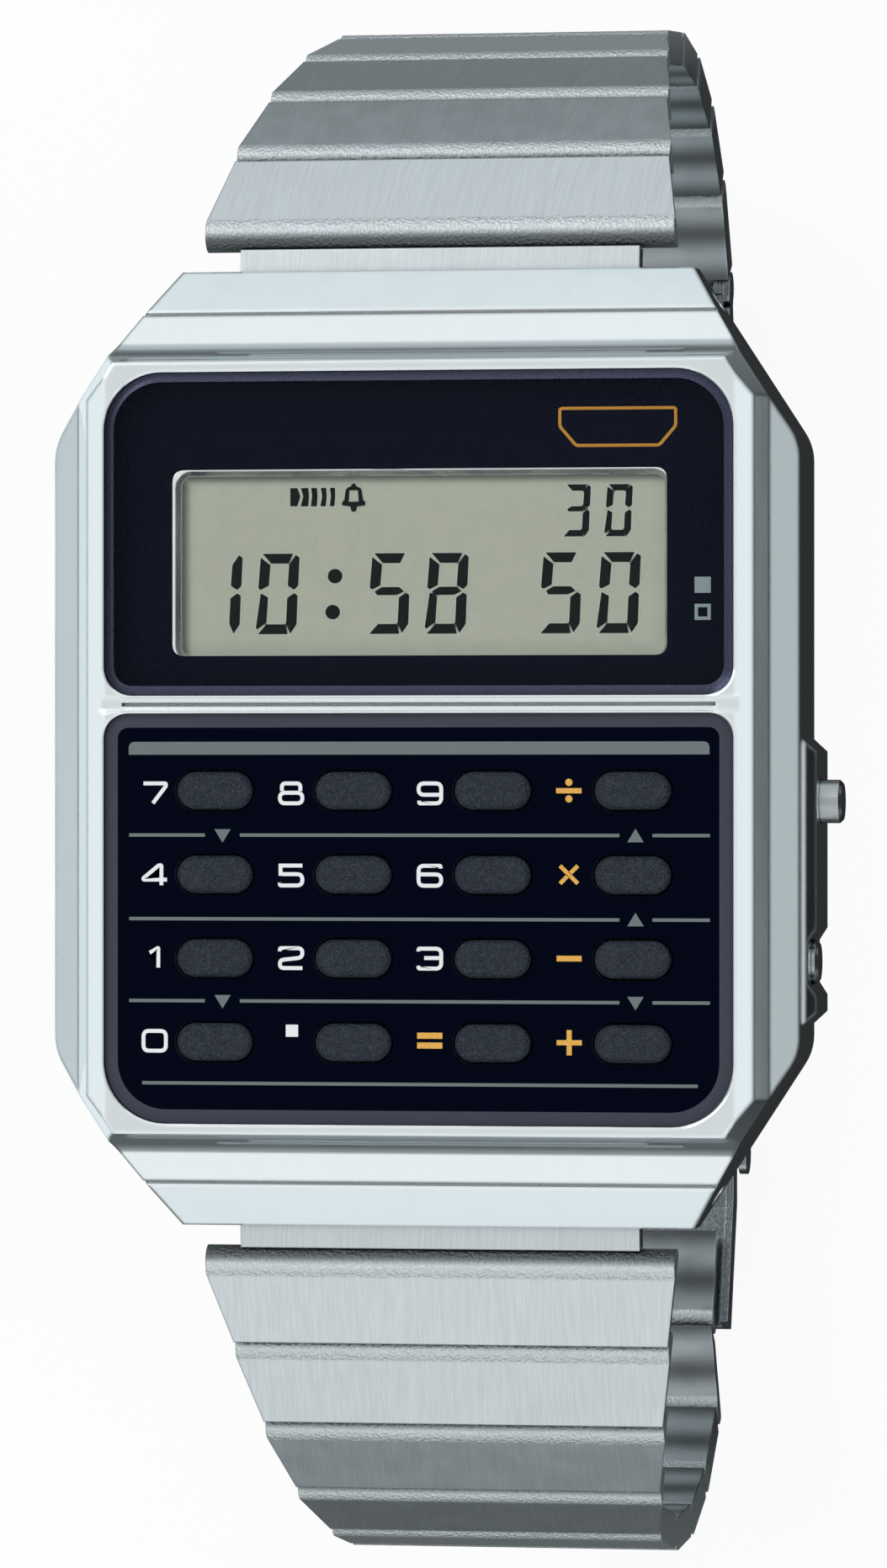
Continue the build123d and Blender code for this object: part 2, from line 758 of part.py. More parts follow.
with BuildPart() as back_screws:
    with BuildSketch(Plane.XY.offset(level(back_depth))):
        with GridLocations(2 * screw_x, 2 * screw_y, 2, 2):
            Circle(screw_radius)
    extrude(amount=screw_length)
    with BuildSketch(Plane.XY.offset(level(back_depth))):
        with GridLocations(2 * screw_x, 2 * screw_y, 2, 2):
            Circle(screw_head_radius)
    extrude(amount=screw_head_height)
    with BuildSketch(Plane.XY.offset(level(back_depth))):
        with GridLocations(2 * screw_x, 2 * screw_y, 2, 2):
            Rectangle(2 * screw_head_radius, screw_slot_width)
    extrude(amount=screw_slot_depth, mode=Mode.SUBTRACT)
save(back_screws.part, "back_screws")


# Side buttons: head, shaft and the clip that keeps the shaft in the case
def side_button(button_y, tip, name):
    plane = Plane(origin=(0, button_y, level(button_depth)), x_dir=(0, 1, 0), z_dir=(1, 0, 0))
    with BuildPart() as button:
        with BuildSketch(plane.offset(button_head_base)):
            Circle(button_head_radius)
        extrude(amount=tip - button_head_base)
        chamfer(button.edges().group_by(Axis.X)[-1], length=button_round)
        with BuildSketch(plane.offset(button_inner_end)):
            Circle(button_shaft_radius)
        extrude(amount=button_head_base - button_inner_end)
    with BuildPart() as clip:
        with BuildSketch(plane.offset(clip_seat_x - clip_thickness)):
            Circle(clip_radius)
            Circle(button_shaft_radius, mode=Mode.SUBTRACT)
        extrude(amount=clip_thickness)
    save_group([button.part, clip.part], name)


side_button(mode_button_y, mode_button_tip, "mode_button")
side_button(adjust_button_y, adjust_button_tip, "adjust_button")

with BuildPart() as button_seals:
    for button_y in (mode_button_y, adjust_button_y):
        seal_plane = Plane(origin=(seal_x, button_y, level(button_depth)), x_dir=(0, 1, 0), z_dir=(1, 0, 0))
        with BuildSketch(seal_plane):
            Circle(seal_radius)
            Circle(button_shaft_radius + shaft_gap / 2, mode=Mode.SUBTRACT)
        extrude(amount=seal_width)
save_group([back_gasket.part, *button_seals.solids()], "case_seals")

# Spring bars, both alike
with BuildPart() as spring_bars:
    for side in (1, -1):
        with BuildSketch(Plane.YZ):
            with Locations((side * bar_y, level(bar_depth))):
                Circle(bar_radius)
        extrude(amount=bar_half_length, both=True)
        with BuildSketch(Plane.YZ):
            with Locations((side * bar_y, level(bar_depth))):
                Circle(bar_tip_radius)
        extrude(amount=diagonal_x(bar_y, bar_tip_inset), both=True)
save(spring_bars.part, "spring_bars")


def side_plane(side, y, depth, tilt):
    """A plane across the bracelet: its x runs along the strap, its y outwards, its z across."""
    along = (0, side * cos(radians(tilt)), -sin(radians(tilt)))
    return Plane(origin=(0, side * y, level(depth)), x_dir=along, z_dir=(side, 0, 0))


def end_piece(side, name):
    reach_y = first_pin_y - bar_y
    reach_depth = first_pin_depth - bar_depth
    tilt = degrees(atan2(reach_depth, reach_y))
    reach = hypot(reach_y, reach_depth)
    plane = side_plane(side, bar_y, bar_depth, tilt)
    with BuildPart() as piece:
        with BuildSketch(plane):
            Circle(end_eye_radius)
            with Locations((reach / 2, 0)):
                Rectangle(reach, end_piece_thickness)
            # A hollow end that hugs the first link's lip
            with Locations((reach, 0)):
                Circle(end_piece_pin_gap, mode=Mode.SUBTRACT)
        extrude(amount=end_piece_width / 2, both=True)
        with BuildSketch(plane):
            with Locations((reach / 2, 0)):
                Rectangle(reach, tongue_thickness)
            with Locations((reach, 0)):
                Circle(eye_radius)
        extrude(amount=tongue_width / 2, both=True)
        with BuildSketch(plane):
            Circle(bar_radius + bar_gap)
            with Locations((reach, 0)):
                Circle(pin_radius + pin_gap)
        extrude(amount=end_piece_width, both=True, mode=Mode.SUBTRACT)
    save(piece.part, name)


def bracelet_link(side, y, depth, tilt, bend, near_width, far_width, tongue_reach, name):
    """A folded sleeve with its pin near the case, and a tongue that reaches the next link's pin.

    The bend is the least angle, in degrees, between this link and the tongue in its mouth.
    The tongue's reach is half its width, and zero leaves it off.
    """
    plane = side_plane(side, y, depth, tilt)
    plan = Plane(origin=plane.origin, x_dir=plane.x_dir, z_dir=plane.y_dir)
    far = link_pitch - link_radius - link_gap
    inner_half = min(near_width, far_width) / 2 - link_side_wall
    root_start = far - tongue_root
    with BuildPart() as sleeve:
        with BuildSketch(plane):
            Circle(link_radius)
            with Locations((far / 2, 0)):
                Rectangle(far, link_thickness)
        extrude(amount=near_width / 2, both=True)
        with BuildSketch(plan):
            with BuildLine():
                Polyline(
                    (-link_radius, near_width / 2), (0, near_width / 2), (far, far_width / 2),
                    (far, -far_width / 2), (0, -near_width / 2), (-link_radius, -near_width / 2),
                    close=True,
                )
            make_face()
        extrude(amount=link_thickness, both=True, mode=Mode.INTERSECT)
        # The hollow inside, the mouth for the tongue of the link before, and the seat of its own tongue
        with BuildSketch(plane):
            Circle(hollow_radius)
            with Locations(((far - link_wall) / 2, 0)):
                Rectangle(far - link_wall, 2 * hollow_radius)
        extrude(amount=inner_half, both=True, mode=Mode.SUBTRACT)
        with BuildSketch(plane):
            drop = link_radius + link_gap
            rise = tongue_thickness / 2 + slot_gap
            root = (-rise * sin(radians(bend)), rise * cos(radians(bend)))
            Polygon(
                root,
                (root[0] - drop * cos(radians(bend)), root[1] - drop * sin(radians(bend))),
                (-drop, -drop),
                (0, -drop),
                (0, root[1]),
                align=None,
            )
        extrude(amount=tongue_width / 2 + tongue_gap, both=True, mode=Mode.SUBTRACT)
        with BuildSketch(plane):
            Circle(pin_radius)
        extrude(amount=inner_half + pin_seat, both=True, mode=Mode.SUBTRACT)
        if tongue_reach:
            with BuildSketch(plane):
                with Locations((far, 0)):
                    Rectangle(2 * link_wall, 2 * hollow_radius)
            extrude(amount=tongue_reach, both=True, mode=Mode.SUBTRACT)
    with BuildPart() as pin:
        with BuildSketch(plane):
            Circle(pin_radius)
        extrude(amount=inner_half + pin_seat, both=True)
    solids = [sleeve.part, pin.part]
    if tongue_reach:
        with BuildPart() as tongue:
            with BuildSketch(plane):
                with Locations(((root_start + far) / 2, 0)):
                    Rectangle(far - root_start, 2 * hollow_radius)
                with Locations(((root_start + link_pitch) / 2, 0)):
                    Rectangle(link_pitch - root_start, tongue_thickness)
                with Locations((link_pitch, 0)):
                    Circle(eye_radius)
                    Circle(pin_radius + pin_gap, mode=Mode.SUBTRACT)
            extrude(amount=tongue_reach, both=True)
        solids.append(tongue.part)
    save_group(solids, name)


def width_at(number):
    """The bracelet's width after a number of links."""
    return band_width - (band_width - band_end_width) * min(number / taper_count, 1)


def bracelet_half(side, hour, tilts):
    """One half of the bracelet, from its end piece outwards. Returns where it ends and its last pin."""
    end_piece(side, f"end_piece_{hour}")
    y = first_pin_y
    depth = first_pin_depth
    tilt_before = 0
    for number, tilt in enumerate(tilts):
        # The 12 o'clock half opens towards straight, the other one folds further in
        bend = tilt - tilt_before - (band_swing if side > 0 else 0)
        near_width = width_at(number)
        far_width = width_at(number + 1)
        tongue_reach = tongue_width / 2
        links_after = len(tilts) - number - 1
        # The 12 o'clock half ends in a wide tongue for the clasp plate's pin
        if side > 0 and links_after == 0:
            tongue_reach = last_tongue_width / 2
        # The 6 o'clock half narrows in its last link but one, and ends between the clasp's rails
        if side < 0 and links_after < 2:
            far_width = band_clasp_width
        if side < 0 and links_after == 0:
            near_width = band_clasp_width
            tongue_reach = 0
        name = f"link_{hour}_{number + 1}"
        bracelet_link(side, y, depth, tilt, bend, near_width, far_width, tongue_reach, name)
        tilt_before = tilt
        last_pin = (y, depth)
        y += link_pitch * cos(radians(tilt))
        depth += link_pitch * sin(radians(tilt))
    return (y, depth), last_pin


clasp_joint = bracelet_half(1, 12, tilts_12)[0]
last_link_6 = bracelet_half(-1, 6, tilts_6)[1]

# Clasp plate: a channel bent up at both ends, flat in the middle, with a pin for the 12 o'clock half
pin_point = (clasp_joint[0], level(clasp_joint[1]))
bend_high = (pin_point[0] - plate_bend_length, plate_mid)
rise_angle = atan2(pin_point[1] - plate_mid, plate_bend_length)
plate_high = (
    pin_point[0] - plate_pin_gap * cos(rise_angle),
    pin_point[1] - plate_pin_gap * sin(rise_angle),
)
# The other end runs parallel to the last link, below it
slope = radians(180 - tilts_6[-1])
below = link_radius + plate_link_gap + plate_thickness / 2
last_pin = (-last_link_6[0], level(last_link_6[1]))
plate_low = (last_pin[0] - below * sin(slope), last_pin[1] - below * cos(slope))
bend_low = (plate_low[0] + (plate_low[1] - plate_mid) * cos(slope) / sin(slope), plate_mid)
plate_line = [plate_high, bend_high, bend_low, plate_low]
rail_line_lift = (rail_height - plate_thickness) / 2
clasp_outer_half = clasp_inner_half + rail_thickness
cover_pin_y = bend_low[0] + cover_pin_inset
cover_pin = (cover_pin_y, plate_mid)
with BuildPart() as clasp_plate:
    with BuildSketch(Plane.YZ):
        with BuildLine():
            Polyline(*plate_line)
        trace(line_width=plate_thickness)
    extrude(amount=clasp_outer_half, both=True)
    with BuildSketch(Plane.YZ):
        with BuildLine():
            Polyline(*[(y, z + rail_line_lift) for y, z in plate_line])
        trace(line_width=rail_height)
        with BuildLine():
            Polyline((plate_high[0], plate_high[1] + rail_line_lift), pin_point)
        trace(line_width=rail_height)
        with Locations(pin_point, cover_pin):
            Circle(plate_ear_radius)
    extrude(amount=clasp_outer_half, both=True)
    # The channel between the two rails
    with BuildSketch(Plane.YZ):
        with BuildLine():
            channel_lift = plate_thickness / 2 + rail_height
            Polyline(*[(y, z + channel_lift) for y, z in plate_line])
        trace(line_width=2 * rail_height)
        with Locations(pin_point):
            Circle(plate_pin_gap)
        with Locations((cover_pin_y, plate_level - plate_ear_radius)):
            Rectangle(2 * plate_ear_radius, 2 * plate_ear_radius)
    extrude(amount=clasp_inner_half, both=True, mode=Mode.SUBTRACT)
    with BuildSketch(Plane.YZ):
        with Locations(pin_point):
            Circle(pin_radius)
        with Locations(cover_pin):
            Circle(cover_pin_radius + pin_gap)
    extrude(amount=clasp_outer_half, both=True, mode=Mode.SUBTRACT)
with BuildPart() as clasp_pin:
    with BuildSketch(Plane.YZ):
        with Locations(pin_point):
            Circle(pin_radius)
    extrude(amount=clasp_outer_half, both=True)
save_group([clasp_plate.part, clasp_pin.part], "clasp_plate")

# Clasp cover: a tray under the plate, hinged at its 6 o'clock end, with two ears for the lever
cover_inner_half = clasp_outer_half + cover_gap
cover_outer_half = cover_inner_half + cover_wall
lever_pin_y = bend_high[0] - lever_pin_inset
cover_low_y = cover_pin_y + cover_end_gap
cover_high_y = lever_pin_y - cover_end_gap
cover_length = cover_high_y - cover_low_y
cover_middle_y = (cover_high_y + cover_low_y) / 2
lever_pin = (lever_pin_y, lever_pin_level)
lever_ear_start = lever_half_width + lever_ear_gap
lever_ear_end = lever_ear_start + lever_ear_width
with BuildPart() as clasp_cover:
    with BuildSketch(Plane.YZ):
        with Locations((cover_middle_y, cover_rise / 2)):
            Rectangle(cover_length, cover_rise)
        arm_low = plate_mid - cover_ear_radius
        with Locations(((cover_pin_y + cover_low_y) / 2, (arm_low + cover_rise) / 2)):
            Rectangle(cover_low_y - cover_pin_y, cover_rise - arm_low)
        with Locations(cover_pin):
            Circle(cover_ear_radius)
    extrude(amount=cover_outer_half, both=True)
    with BuildSketch(Plane.YZ):
        with Locations((cover_middle_y, cover_base + cover_rise / 2)):
            Rectangle(cover_length + 2 * overrun, cover_rise)
        with Locations((cover_low_y - cover_length / 2, cover_rise / 2)):
            Rectangle(cover_length, 2 * cover_rise)
    extrude(amount=cover_inner_half, both=True, mode=Mode.SUBTRACT)
    for low_x in (lever_ear_start, -lever_ear_end):
        with BuildSketch(Plane.YZ.offset(low_x)):
            with Locations(lever_pin):
                Circle(lever_ear_radius)
            with Locations(((cover_high_y + lever_pin_y) / 2, lever_pin_level)):
                Rectangle(lever_pin_y - cover_high_y, 2 * lever_ear_radius)
            with Locations((cover_high_y - lever_ear_radius, lever_pin_level)):
                Rectangle(2 * lever_ear_radius, 2 * lever_ear_radius)
        extrude(amount=lever_ear_width)
    with BuildSketch(Plane.YZ):
        with Locations(cover_pin):
            Circle(cover_pin_radius)
        with Locations(lever_pin):
            Circle(lever_pin_radius)
    extrude(amount=cover_outer_half, both=True, mode=Mode.SUBTRACT)
rivets = []
for low_x in (clasp_inner_half, -cover_outer_half):
    with BuildPart() as rivet:
        with BuildSketch(Plane.YZ.offset(low_x)):
            with Locations(cover_pin):
                Circle(cover_pin_radius)
        extrude(amount=cover_outer_half - clasp_inner_half)
    rivets.append(rivet.part)
with BuildPart() as lever_axle:
    with BuildSketch(Plane.YZ):
        with Locations(lever_pin):
            Circle(lever_pin_radius)
    extrude(amount=lever_ear_end, both=True)
save_group([clasp_cover.part, *rivets, lever_axle.part], "clasp_cover")

# Lever that locks the cover
with BuildPart() as clasp_lever:
    with BuildSketch(Plane.YZ):
        with Locations(lever_pin):
            Circle(lever_knuckle_radius)
        with Locations((lever_pin_y + lever_reach / 2, lever_level + lever_thickness / 2)):
            Rectangle(lever_reach, lever_thickness)
        with Locations(lever_pin):
            Circle(lever_pin_radius + pin_gap, mode=Mode.SUBTRACT)
    extrude(amount=lever_half_width, both=True)
save(clasp_lever.part, "clasp_lever")
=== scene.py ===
import json
import math

import bpy
import bmesh
from mathutils import Matrix, Vector

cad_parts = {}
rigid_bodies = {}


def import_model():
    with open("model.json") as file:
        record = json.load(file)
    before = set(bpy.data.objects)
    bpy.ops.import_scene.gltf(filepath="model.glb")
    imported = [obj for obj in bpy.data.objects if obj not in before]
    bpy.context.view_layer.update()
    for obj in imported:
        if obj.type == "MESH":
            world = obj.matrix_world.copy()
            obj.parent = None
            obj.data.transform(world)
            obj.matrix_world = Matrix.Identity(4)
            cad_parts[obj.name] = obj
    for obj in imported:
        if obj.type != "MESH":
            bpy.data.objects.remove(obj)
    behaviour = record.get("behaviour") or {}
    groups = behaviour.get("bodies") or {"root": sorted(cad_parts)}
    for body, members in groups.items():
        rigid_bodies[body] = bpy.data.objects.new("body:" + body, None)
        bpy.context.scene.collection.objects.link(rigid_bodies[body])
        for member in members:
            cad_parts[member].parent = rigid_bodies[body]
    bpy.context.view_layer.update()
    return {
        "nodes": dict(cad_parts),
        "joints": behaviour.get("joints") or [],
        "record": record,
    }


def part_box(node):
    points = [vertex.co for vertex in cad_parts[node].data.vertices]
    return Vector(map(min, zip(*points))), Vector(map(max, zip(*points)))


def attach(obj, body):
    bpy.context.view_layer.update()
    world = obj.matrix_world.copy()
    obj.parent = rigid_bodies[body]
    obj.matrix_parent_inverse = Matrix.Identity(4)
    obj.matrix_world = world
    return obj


MM = 0.001

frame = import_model()

# Camera: the photograph's place, straight over the dial and a little towards 3 o'clock (mm and degrees)
AIM = (1.23, -1.61, 50.0)
DISTANCE = 354.0
TURN = 9.8
LENS = 182.9
SENSOR = 36.0
DIAL_LEVEL = 50.0

# The photograph's pixels at the dial: the column where X is zero, the middle row, pixels per mm each way
ZERO_COLUMN = 494.5
MIDDLE_ROW = 932.0
ACROSS = 26.35
UP = 26.75
SLIDE = 0.1726


def spot(column, row, depth):
    """Where a pixel of the photograph lies on the level that is depth under the dial, in mm."""
    grow = 1 + depth / DISTANCE
    return (
        (column - ZERO_COLUMN) * grow / ACROSS - SLIDE * depth,
        (MIDDLE_ROW - row) * grow / UP + AIM[1],
    )


# ---------------------------------------------------------------- node trees


# Samples of the bevel and occlusion nodes
EDGE_RAYS = 6
# Most of a noise's values lie between these two, nearly all between the wider two
NOISE_CORE = (0.3, 0.7)
WIDE_CORE = (0.25, 0.75)
# A mix node's two inputs and its output, by what it mixes
MIX_SOCKETS = {"VECTOR": (4, 5, 1), "RGBA": (6, 7, 2)}


class Nodes:
    """Short calls for the nodes of one tree."""

    def __init__(self, tree):
        self.tree = tree
        tree.nodes.clear()

    def node(self, kind, **settings):
        made = self.tree.nodes.new(kind)
        for key, value in settings.items():
            setattr(made, key, value)
        return made

    def plug(self, socket, value):
        """Links a socket, or sets it where the value is plain."""
        if isinstance(value, bpy.types.NodeSocket):
            self.tree.links.new(value, socket)
        elif isinstance(value, tuple) and socket.type == "RGBA" and len(value) == 3:
            socket.default_value = (*value, 1)
        else:
            socket.default_value = value

    def sum(self, operation, *values, clamp=False):
        """A sum or another operation on plain values."""
        made = self.node("ShaderNodeMath", operation=operation, use_clamp=clamp)
        for socket, value in zip(made.inputs, values):
            self.plug(socket, value)
        return made.outputs[0]

    def shift(self, place, move=(0, 0, 0), turn=(0, 0, 0), stretch=(1, 1, 1), kind="POINT"):
        """A place or direction stretched, turned and moved."""
        made = self.node("ShaderNodeMapping", vector_type=kind)
        self.plug(made.inputs["Vector"], place)
        if kind == "POINT":
            made.inputs["Location"].default_value = move
        made.inputs["Rotation"].default_value = turn
        made.inputs["Scale"].default_value = stretch
        return made.outputs[0]

    def span(self, value, low, high, to_low=0.0, to_high=1.0):
        """A value carried smoothly from one range to another."""
        made = self.node("ShaderNodeMapRange", interpolation_type="SMOOTHSTEP")
        for socket, amount in zip(made.inputs, (value, low, high, to_low, to_high)):
            self.plug(socket, amount)
        return made.outputs[0]

    def mix(self, share, first, second, kind="RGBA"):
        """The second colour or vector over the first, by a share."""
        made = self.node("ShaderNodeMix", data_type=kind)
        under_socket, over_socket, output = MIX_SOCKETS[kind]
        self.plug(made.inputs[0], share)
        self.plug(made.inputs[under_socket], first)
        self.plug(made.inputs[over_socket], second)
        return made.outputs[output]

    def ramp(self, value, stops):
        """A value carried smoothly through stops of place and brightness, places in mm."""
        low, high = stops[0][0] * MM, stops[-1][0] * MM
        made = self.node("ShaderNodeValToRGB")
        made.color_ramp.interpolation = "EASE"
        for number, (place, level) in enumerate(stops):
            share = (place * MM - low) / (high - low)
            if 0 < number < len(stops) - 1:
                stop = made.color_ramp.elements.new(share)
            else:
                stop = made.color_ramp.elements[0 if number == 0 else -1]
            stop.position = share
            stop.color = (level, level, level, 1)
        scaled_value = self.sum("DIVIDE", self.sum("SUBTRACT", value, low), high - low)
        self.plug(made.inputs[0], scaled_value)
        return made.outputs[0]

    def axis(self, place, which):
        made = self.node("ShaderNodeSeparateXYZ")
        self.plug(made.inputs[0], place)
        return made.outputs[which]

    def blend(self, share, first, second, output):
        """Two shaders mixed into the tree's output."""
        made = self.node("ShaderNodeMixShader")
        self.plug(made.inputs[0], share)
        self.plug(made.inputs[1], first)
        self.plug(made.inputs[2], second)
        self.plug(self.node(output).inputs[0], made.outputs[0])

    def glow(self, kind, colour, strength):
        made = self.node(kind)
        self.plug(made.inputs[0], colour)
        self.plug(made.inputs[1], strength)
        return made.outputs[0]


class Shade(Nodes):
    """A material with one Principled shader."""

    def __init__(self, name, colour, roughness, metallic):
        self.material = bpy.data.materials.new(name)
        self.material.use_nodes = True
        super().__init__(self.material.node_tree)
        output = self.node("ShaderNodeOutputMaterial")
        self.skin = self.node("ShaderNodeBsdfPrincipled")
        self.tree.links.new(self.skin.outputs[0], output.inputs["Surface"])
        self.set("Base Color", colour)
        self.set("Roughness", roughness)
        self.set("Metallic", metallic)
        coordinates = self.node("ShaderNodeTexCoord")
        self.place = coordinates.outputs["Object"]
        self.facing = coordinates.outputs["Normal"]

    def set(self, socket, value):
        self.plug(self.skin.inputs[socket], value)

    def noise(self, size, detail, stretch=(1, 1, 1), place=None, warp=0.0, rough=0.5):
        """Noise whose blobs are about size mm, drawn out along each axis by the stretch."""
        made = self.node("ShaderNodeTexNoise")
        grain = tuple(1 / (value * size * MM) for value in stretch)
        self.plug(made.inputs["Vector"], self.shift(place or self.place, stretch=grain))
        made.inputs["Scale"].default_value = 1.0
        made.inputs["Detail"].default_value = detail
        made.inputs["Roughness"].default_value = rough
        made.inputs["Distortion"].default_value = warp
        return made.outputs["Fac"]

    def cells(self, size, feature="F1"):
        """Cells about size mm across."""
        made = self.node("ShaderNodeTexVoronoi", feature=feature)
        grain = (1 / (size * MM),) * 3
        self.plug(made.inputs["Vector"], self.shift(self.place, stretch=grain))
        made.inputs["Scale"].default_value = 1.0
        return made.outputs["Distance"]

    def bump(self, height, depth, strength, under=None):
        """Bump of a depth in mm, over an optional earlier normal."""
        made = self.node("ShaderNodeBump")
        made.inputs["Strength"].default_value = strength
        made.inputs["Distance"].default_value = depth * MM
        self.plug(made.inputs["Height"], height)
        if under is not None:
            self.plug(made.inputs["Normal"], under)
        return made.outputs[0]

    def soft_edges(self, radius):
        made = self.node("ShaderNodeBevel", samples=EDGE_RAYS)
        made.inputs["Radius"].default_value = radius * MM
        return made.outputs[0]

    def clear_of_painted_shade(self, reach, low, high):
        """One in the open, nought where surfaces within reach mm close in, as in seams; it masks painted
        shade.
        """
        made = self.node("ShaderNodeAmbientOcclusion", samples=EDGE_RAYS)
        made.inputs["Distance"].default_value = reach * MM
        return self.span(made.outputs["AO"], low, high)


def scaled(colour, share):
    """A colour made darker or lighter by a share."""
    return tuple(min(c * share, 1.0) for c in colour)


# ---------------------------------------------------------------- materials


# Sizes and depths of grains and smears are in mm, shades are shares of a material's own colour,
# and glosses are shares of its own roughness
SMEAR_SIZE = 2.2
SMEAR_STRETCH = (1, 2.4, 1)
SMEAR_CORE = (0.3, 0.75)
SMEAR_SHADE = 0.97
SMEAR_GLOSS = (0.7, 1.5)
SATIN_SIZE = 0.09
SATIN_DEPTH = 0.002
# Painted shade in narrow seams: the occlusion range over which it fades in, and its share of the colour
SEAM_CLEAR = (0.1, 0.4)
SEAM_PAINTED_SHADE = 0.05


def polished(name, colour, roughness, edge, seam=0.0):
    """Bright plated metal: faint smears, softened edges, a fine satin grain, and painted shade in narrow
    seams where a seam reach is given.
    """
    made = Shade(name, colour, roughness, 1.0)
    smear = made.noise(SMEAR_SIZE, detail=4.0, stretch=SMEAR_STRETCH, warp=0.4)
    fine = made.noise(SATIN_SIZE, detail=2.0)
    made.set("Roughness", made.span(smear, *SMEAR_CORE, *(roughness * share for share in SMEAR_GLOSS)))
    base_tone = made.mix(smear, scaled(colour, SMEAR_SHADE), colour)
    # Painted shade: the colour darkens where ambient occlusion finds surfaces close in
    if seam:
        base_tone = made.mix(made.clear_of_painted_shade(seam, *SEAM_CLEAR), scaled(colour, SEAM_PAINTED_SHADE), base_tone)
    made.set("Base Color", base_tone)
    made.set("Normal", made.bump(fine, SATIN_DEPTH, strength=0.35, under=made.soft_edges(edge)))
    return made.material


BLOT_SIZE = 1.6
BLOT_SHADES = (0.9, 1.1)
BLOT_GLOSS = (0.85, 1.15)
MOULD_GRAIN_SIZE = 0.12
MOULD_GRAIN_DEPTH = 0.004
SHARP_EDGE = 0.06


def moulded(name, colour, roughness):
    """Moulded plastic or rubber with a fine grain and slightly uneven gloss."""
    made = Shade(name, colour, roughness, 0.0)
    blot = made.noise(BLOT_SIZE, detail=3.0)
    grain = made.noise(MOULD_GRAIN_SIZE, detail=3.0)
    made.set("Base Color", made.mix(blot, *(scaled(colour, shade) for shade in BLOT_SHADES)))
    made.set("Roughness", made.span(blot, *WIDE_CORE, *(roughness * share for share in BLOT_GLOSS)))
    made.set("Normal", made.bump(grain, MOULD_GRAIN_DEPTH, strength=0.6, under=made.soft_edges(SHARP_EDGE)))
    return made.material


# The joint that carries each piece, and the piece that each one's own hinge carries
JOINTS = {joint["child"]: joint for joint in frame["joints"]}
FOLLOWING = {joint["parent"]: joint["child"] for joint in frame["joints"] if joint["type"] == "hinge"}
LAST_BEND = math.radians(15)


def band_tilt(node):
    """How far a piece of the band leans from the dial's level, from its own pin to the next."""
    pin = Vector(JOINTS[node]["pos_m"])
    if node not in FOLLOWING:
        return band_tilt(JOINTS[node]["parent"]) + LAST_BEND
    after = Vector(JOINTS[FOLLOWING[node]]["pos_m"])
    return math.atan2(pin.z - after.z, abs(after.y) - abs(pin.y))


BAND_COLOUR = (0.60, 0.655, 0.675)
BAND_EDGE = 0.1
BAND_ROUGHNESS = (0.28, 0.32)
WEAR_SIZE = 1.4
# Brushed grain: its size, how long its lines are drawn, and its lean
GRAIN_SIZE = 0.06
GRAIN_DRAWN = (1, 40, 1)
COARSE_SIZE = 0.3
COARSE_DRAWN = (1, 30, 1)
COARSE_SHARE = 0.12
GRAIN_SHADES = (0.94, 1.05)
GRAIN_DEPTH = 0.004
GRAIN_LEAN = math.radians(4)
# Pebbled lip round the pin: where it starts and is full, its pebbles, its rougher gloss, and the painted
# shade on its side that faces the case
LIP_REACH = (0.3 * MM, -0.1 * MM)
PEBBLE_SIZE = 0.12
PEBBLE_CELL = 0.15
PEBBLE_DEPTH = 0.06
LIP_DULLNESS = 0.14
LIP_TURNED_IN = (-0.55, -0.95)
LIP_PAINTED_SHADE = 0.22
# Painted ridges of the inner side, dark bands of painted shade and bright bands of painted highlight: their
# start and length in mm, their dark and bright shades, and how far a face must turn in to have them
RIDGE_START = 0.9
RIDGE_LENGTH = 2.6
PAINTED_RIDGE_SHADES = (0.36, 1.2)
TURNED_IN = (-0.2, -0.7)
# Painted shade in the gaps between links, found by ambient occlusion: its reach in mm, its fade, and its
# share of the colour
GAP_REACH = 1.2
GAP_CLEAR = (0.2, 0.7)
GAP_PAINTED_SHADE = 0.2


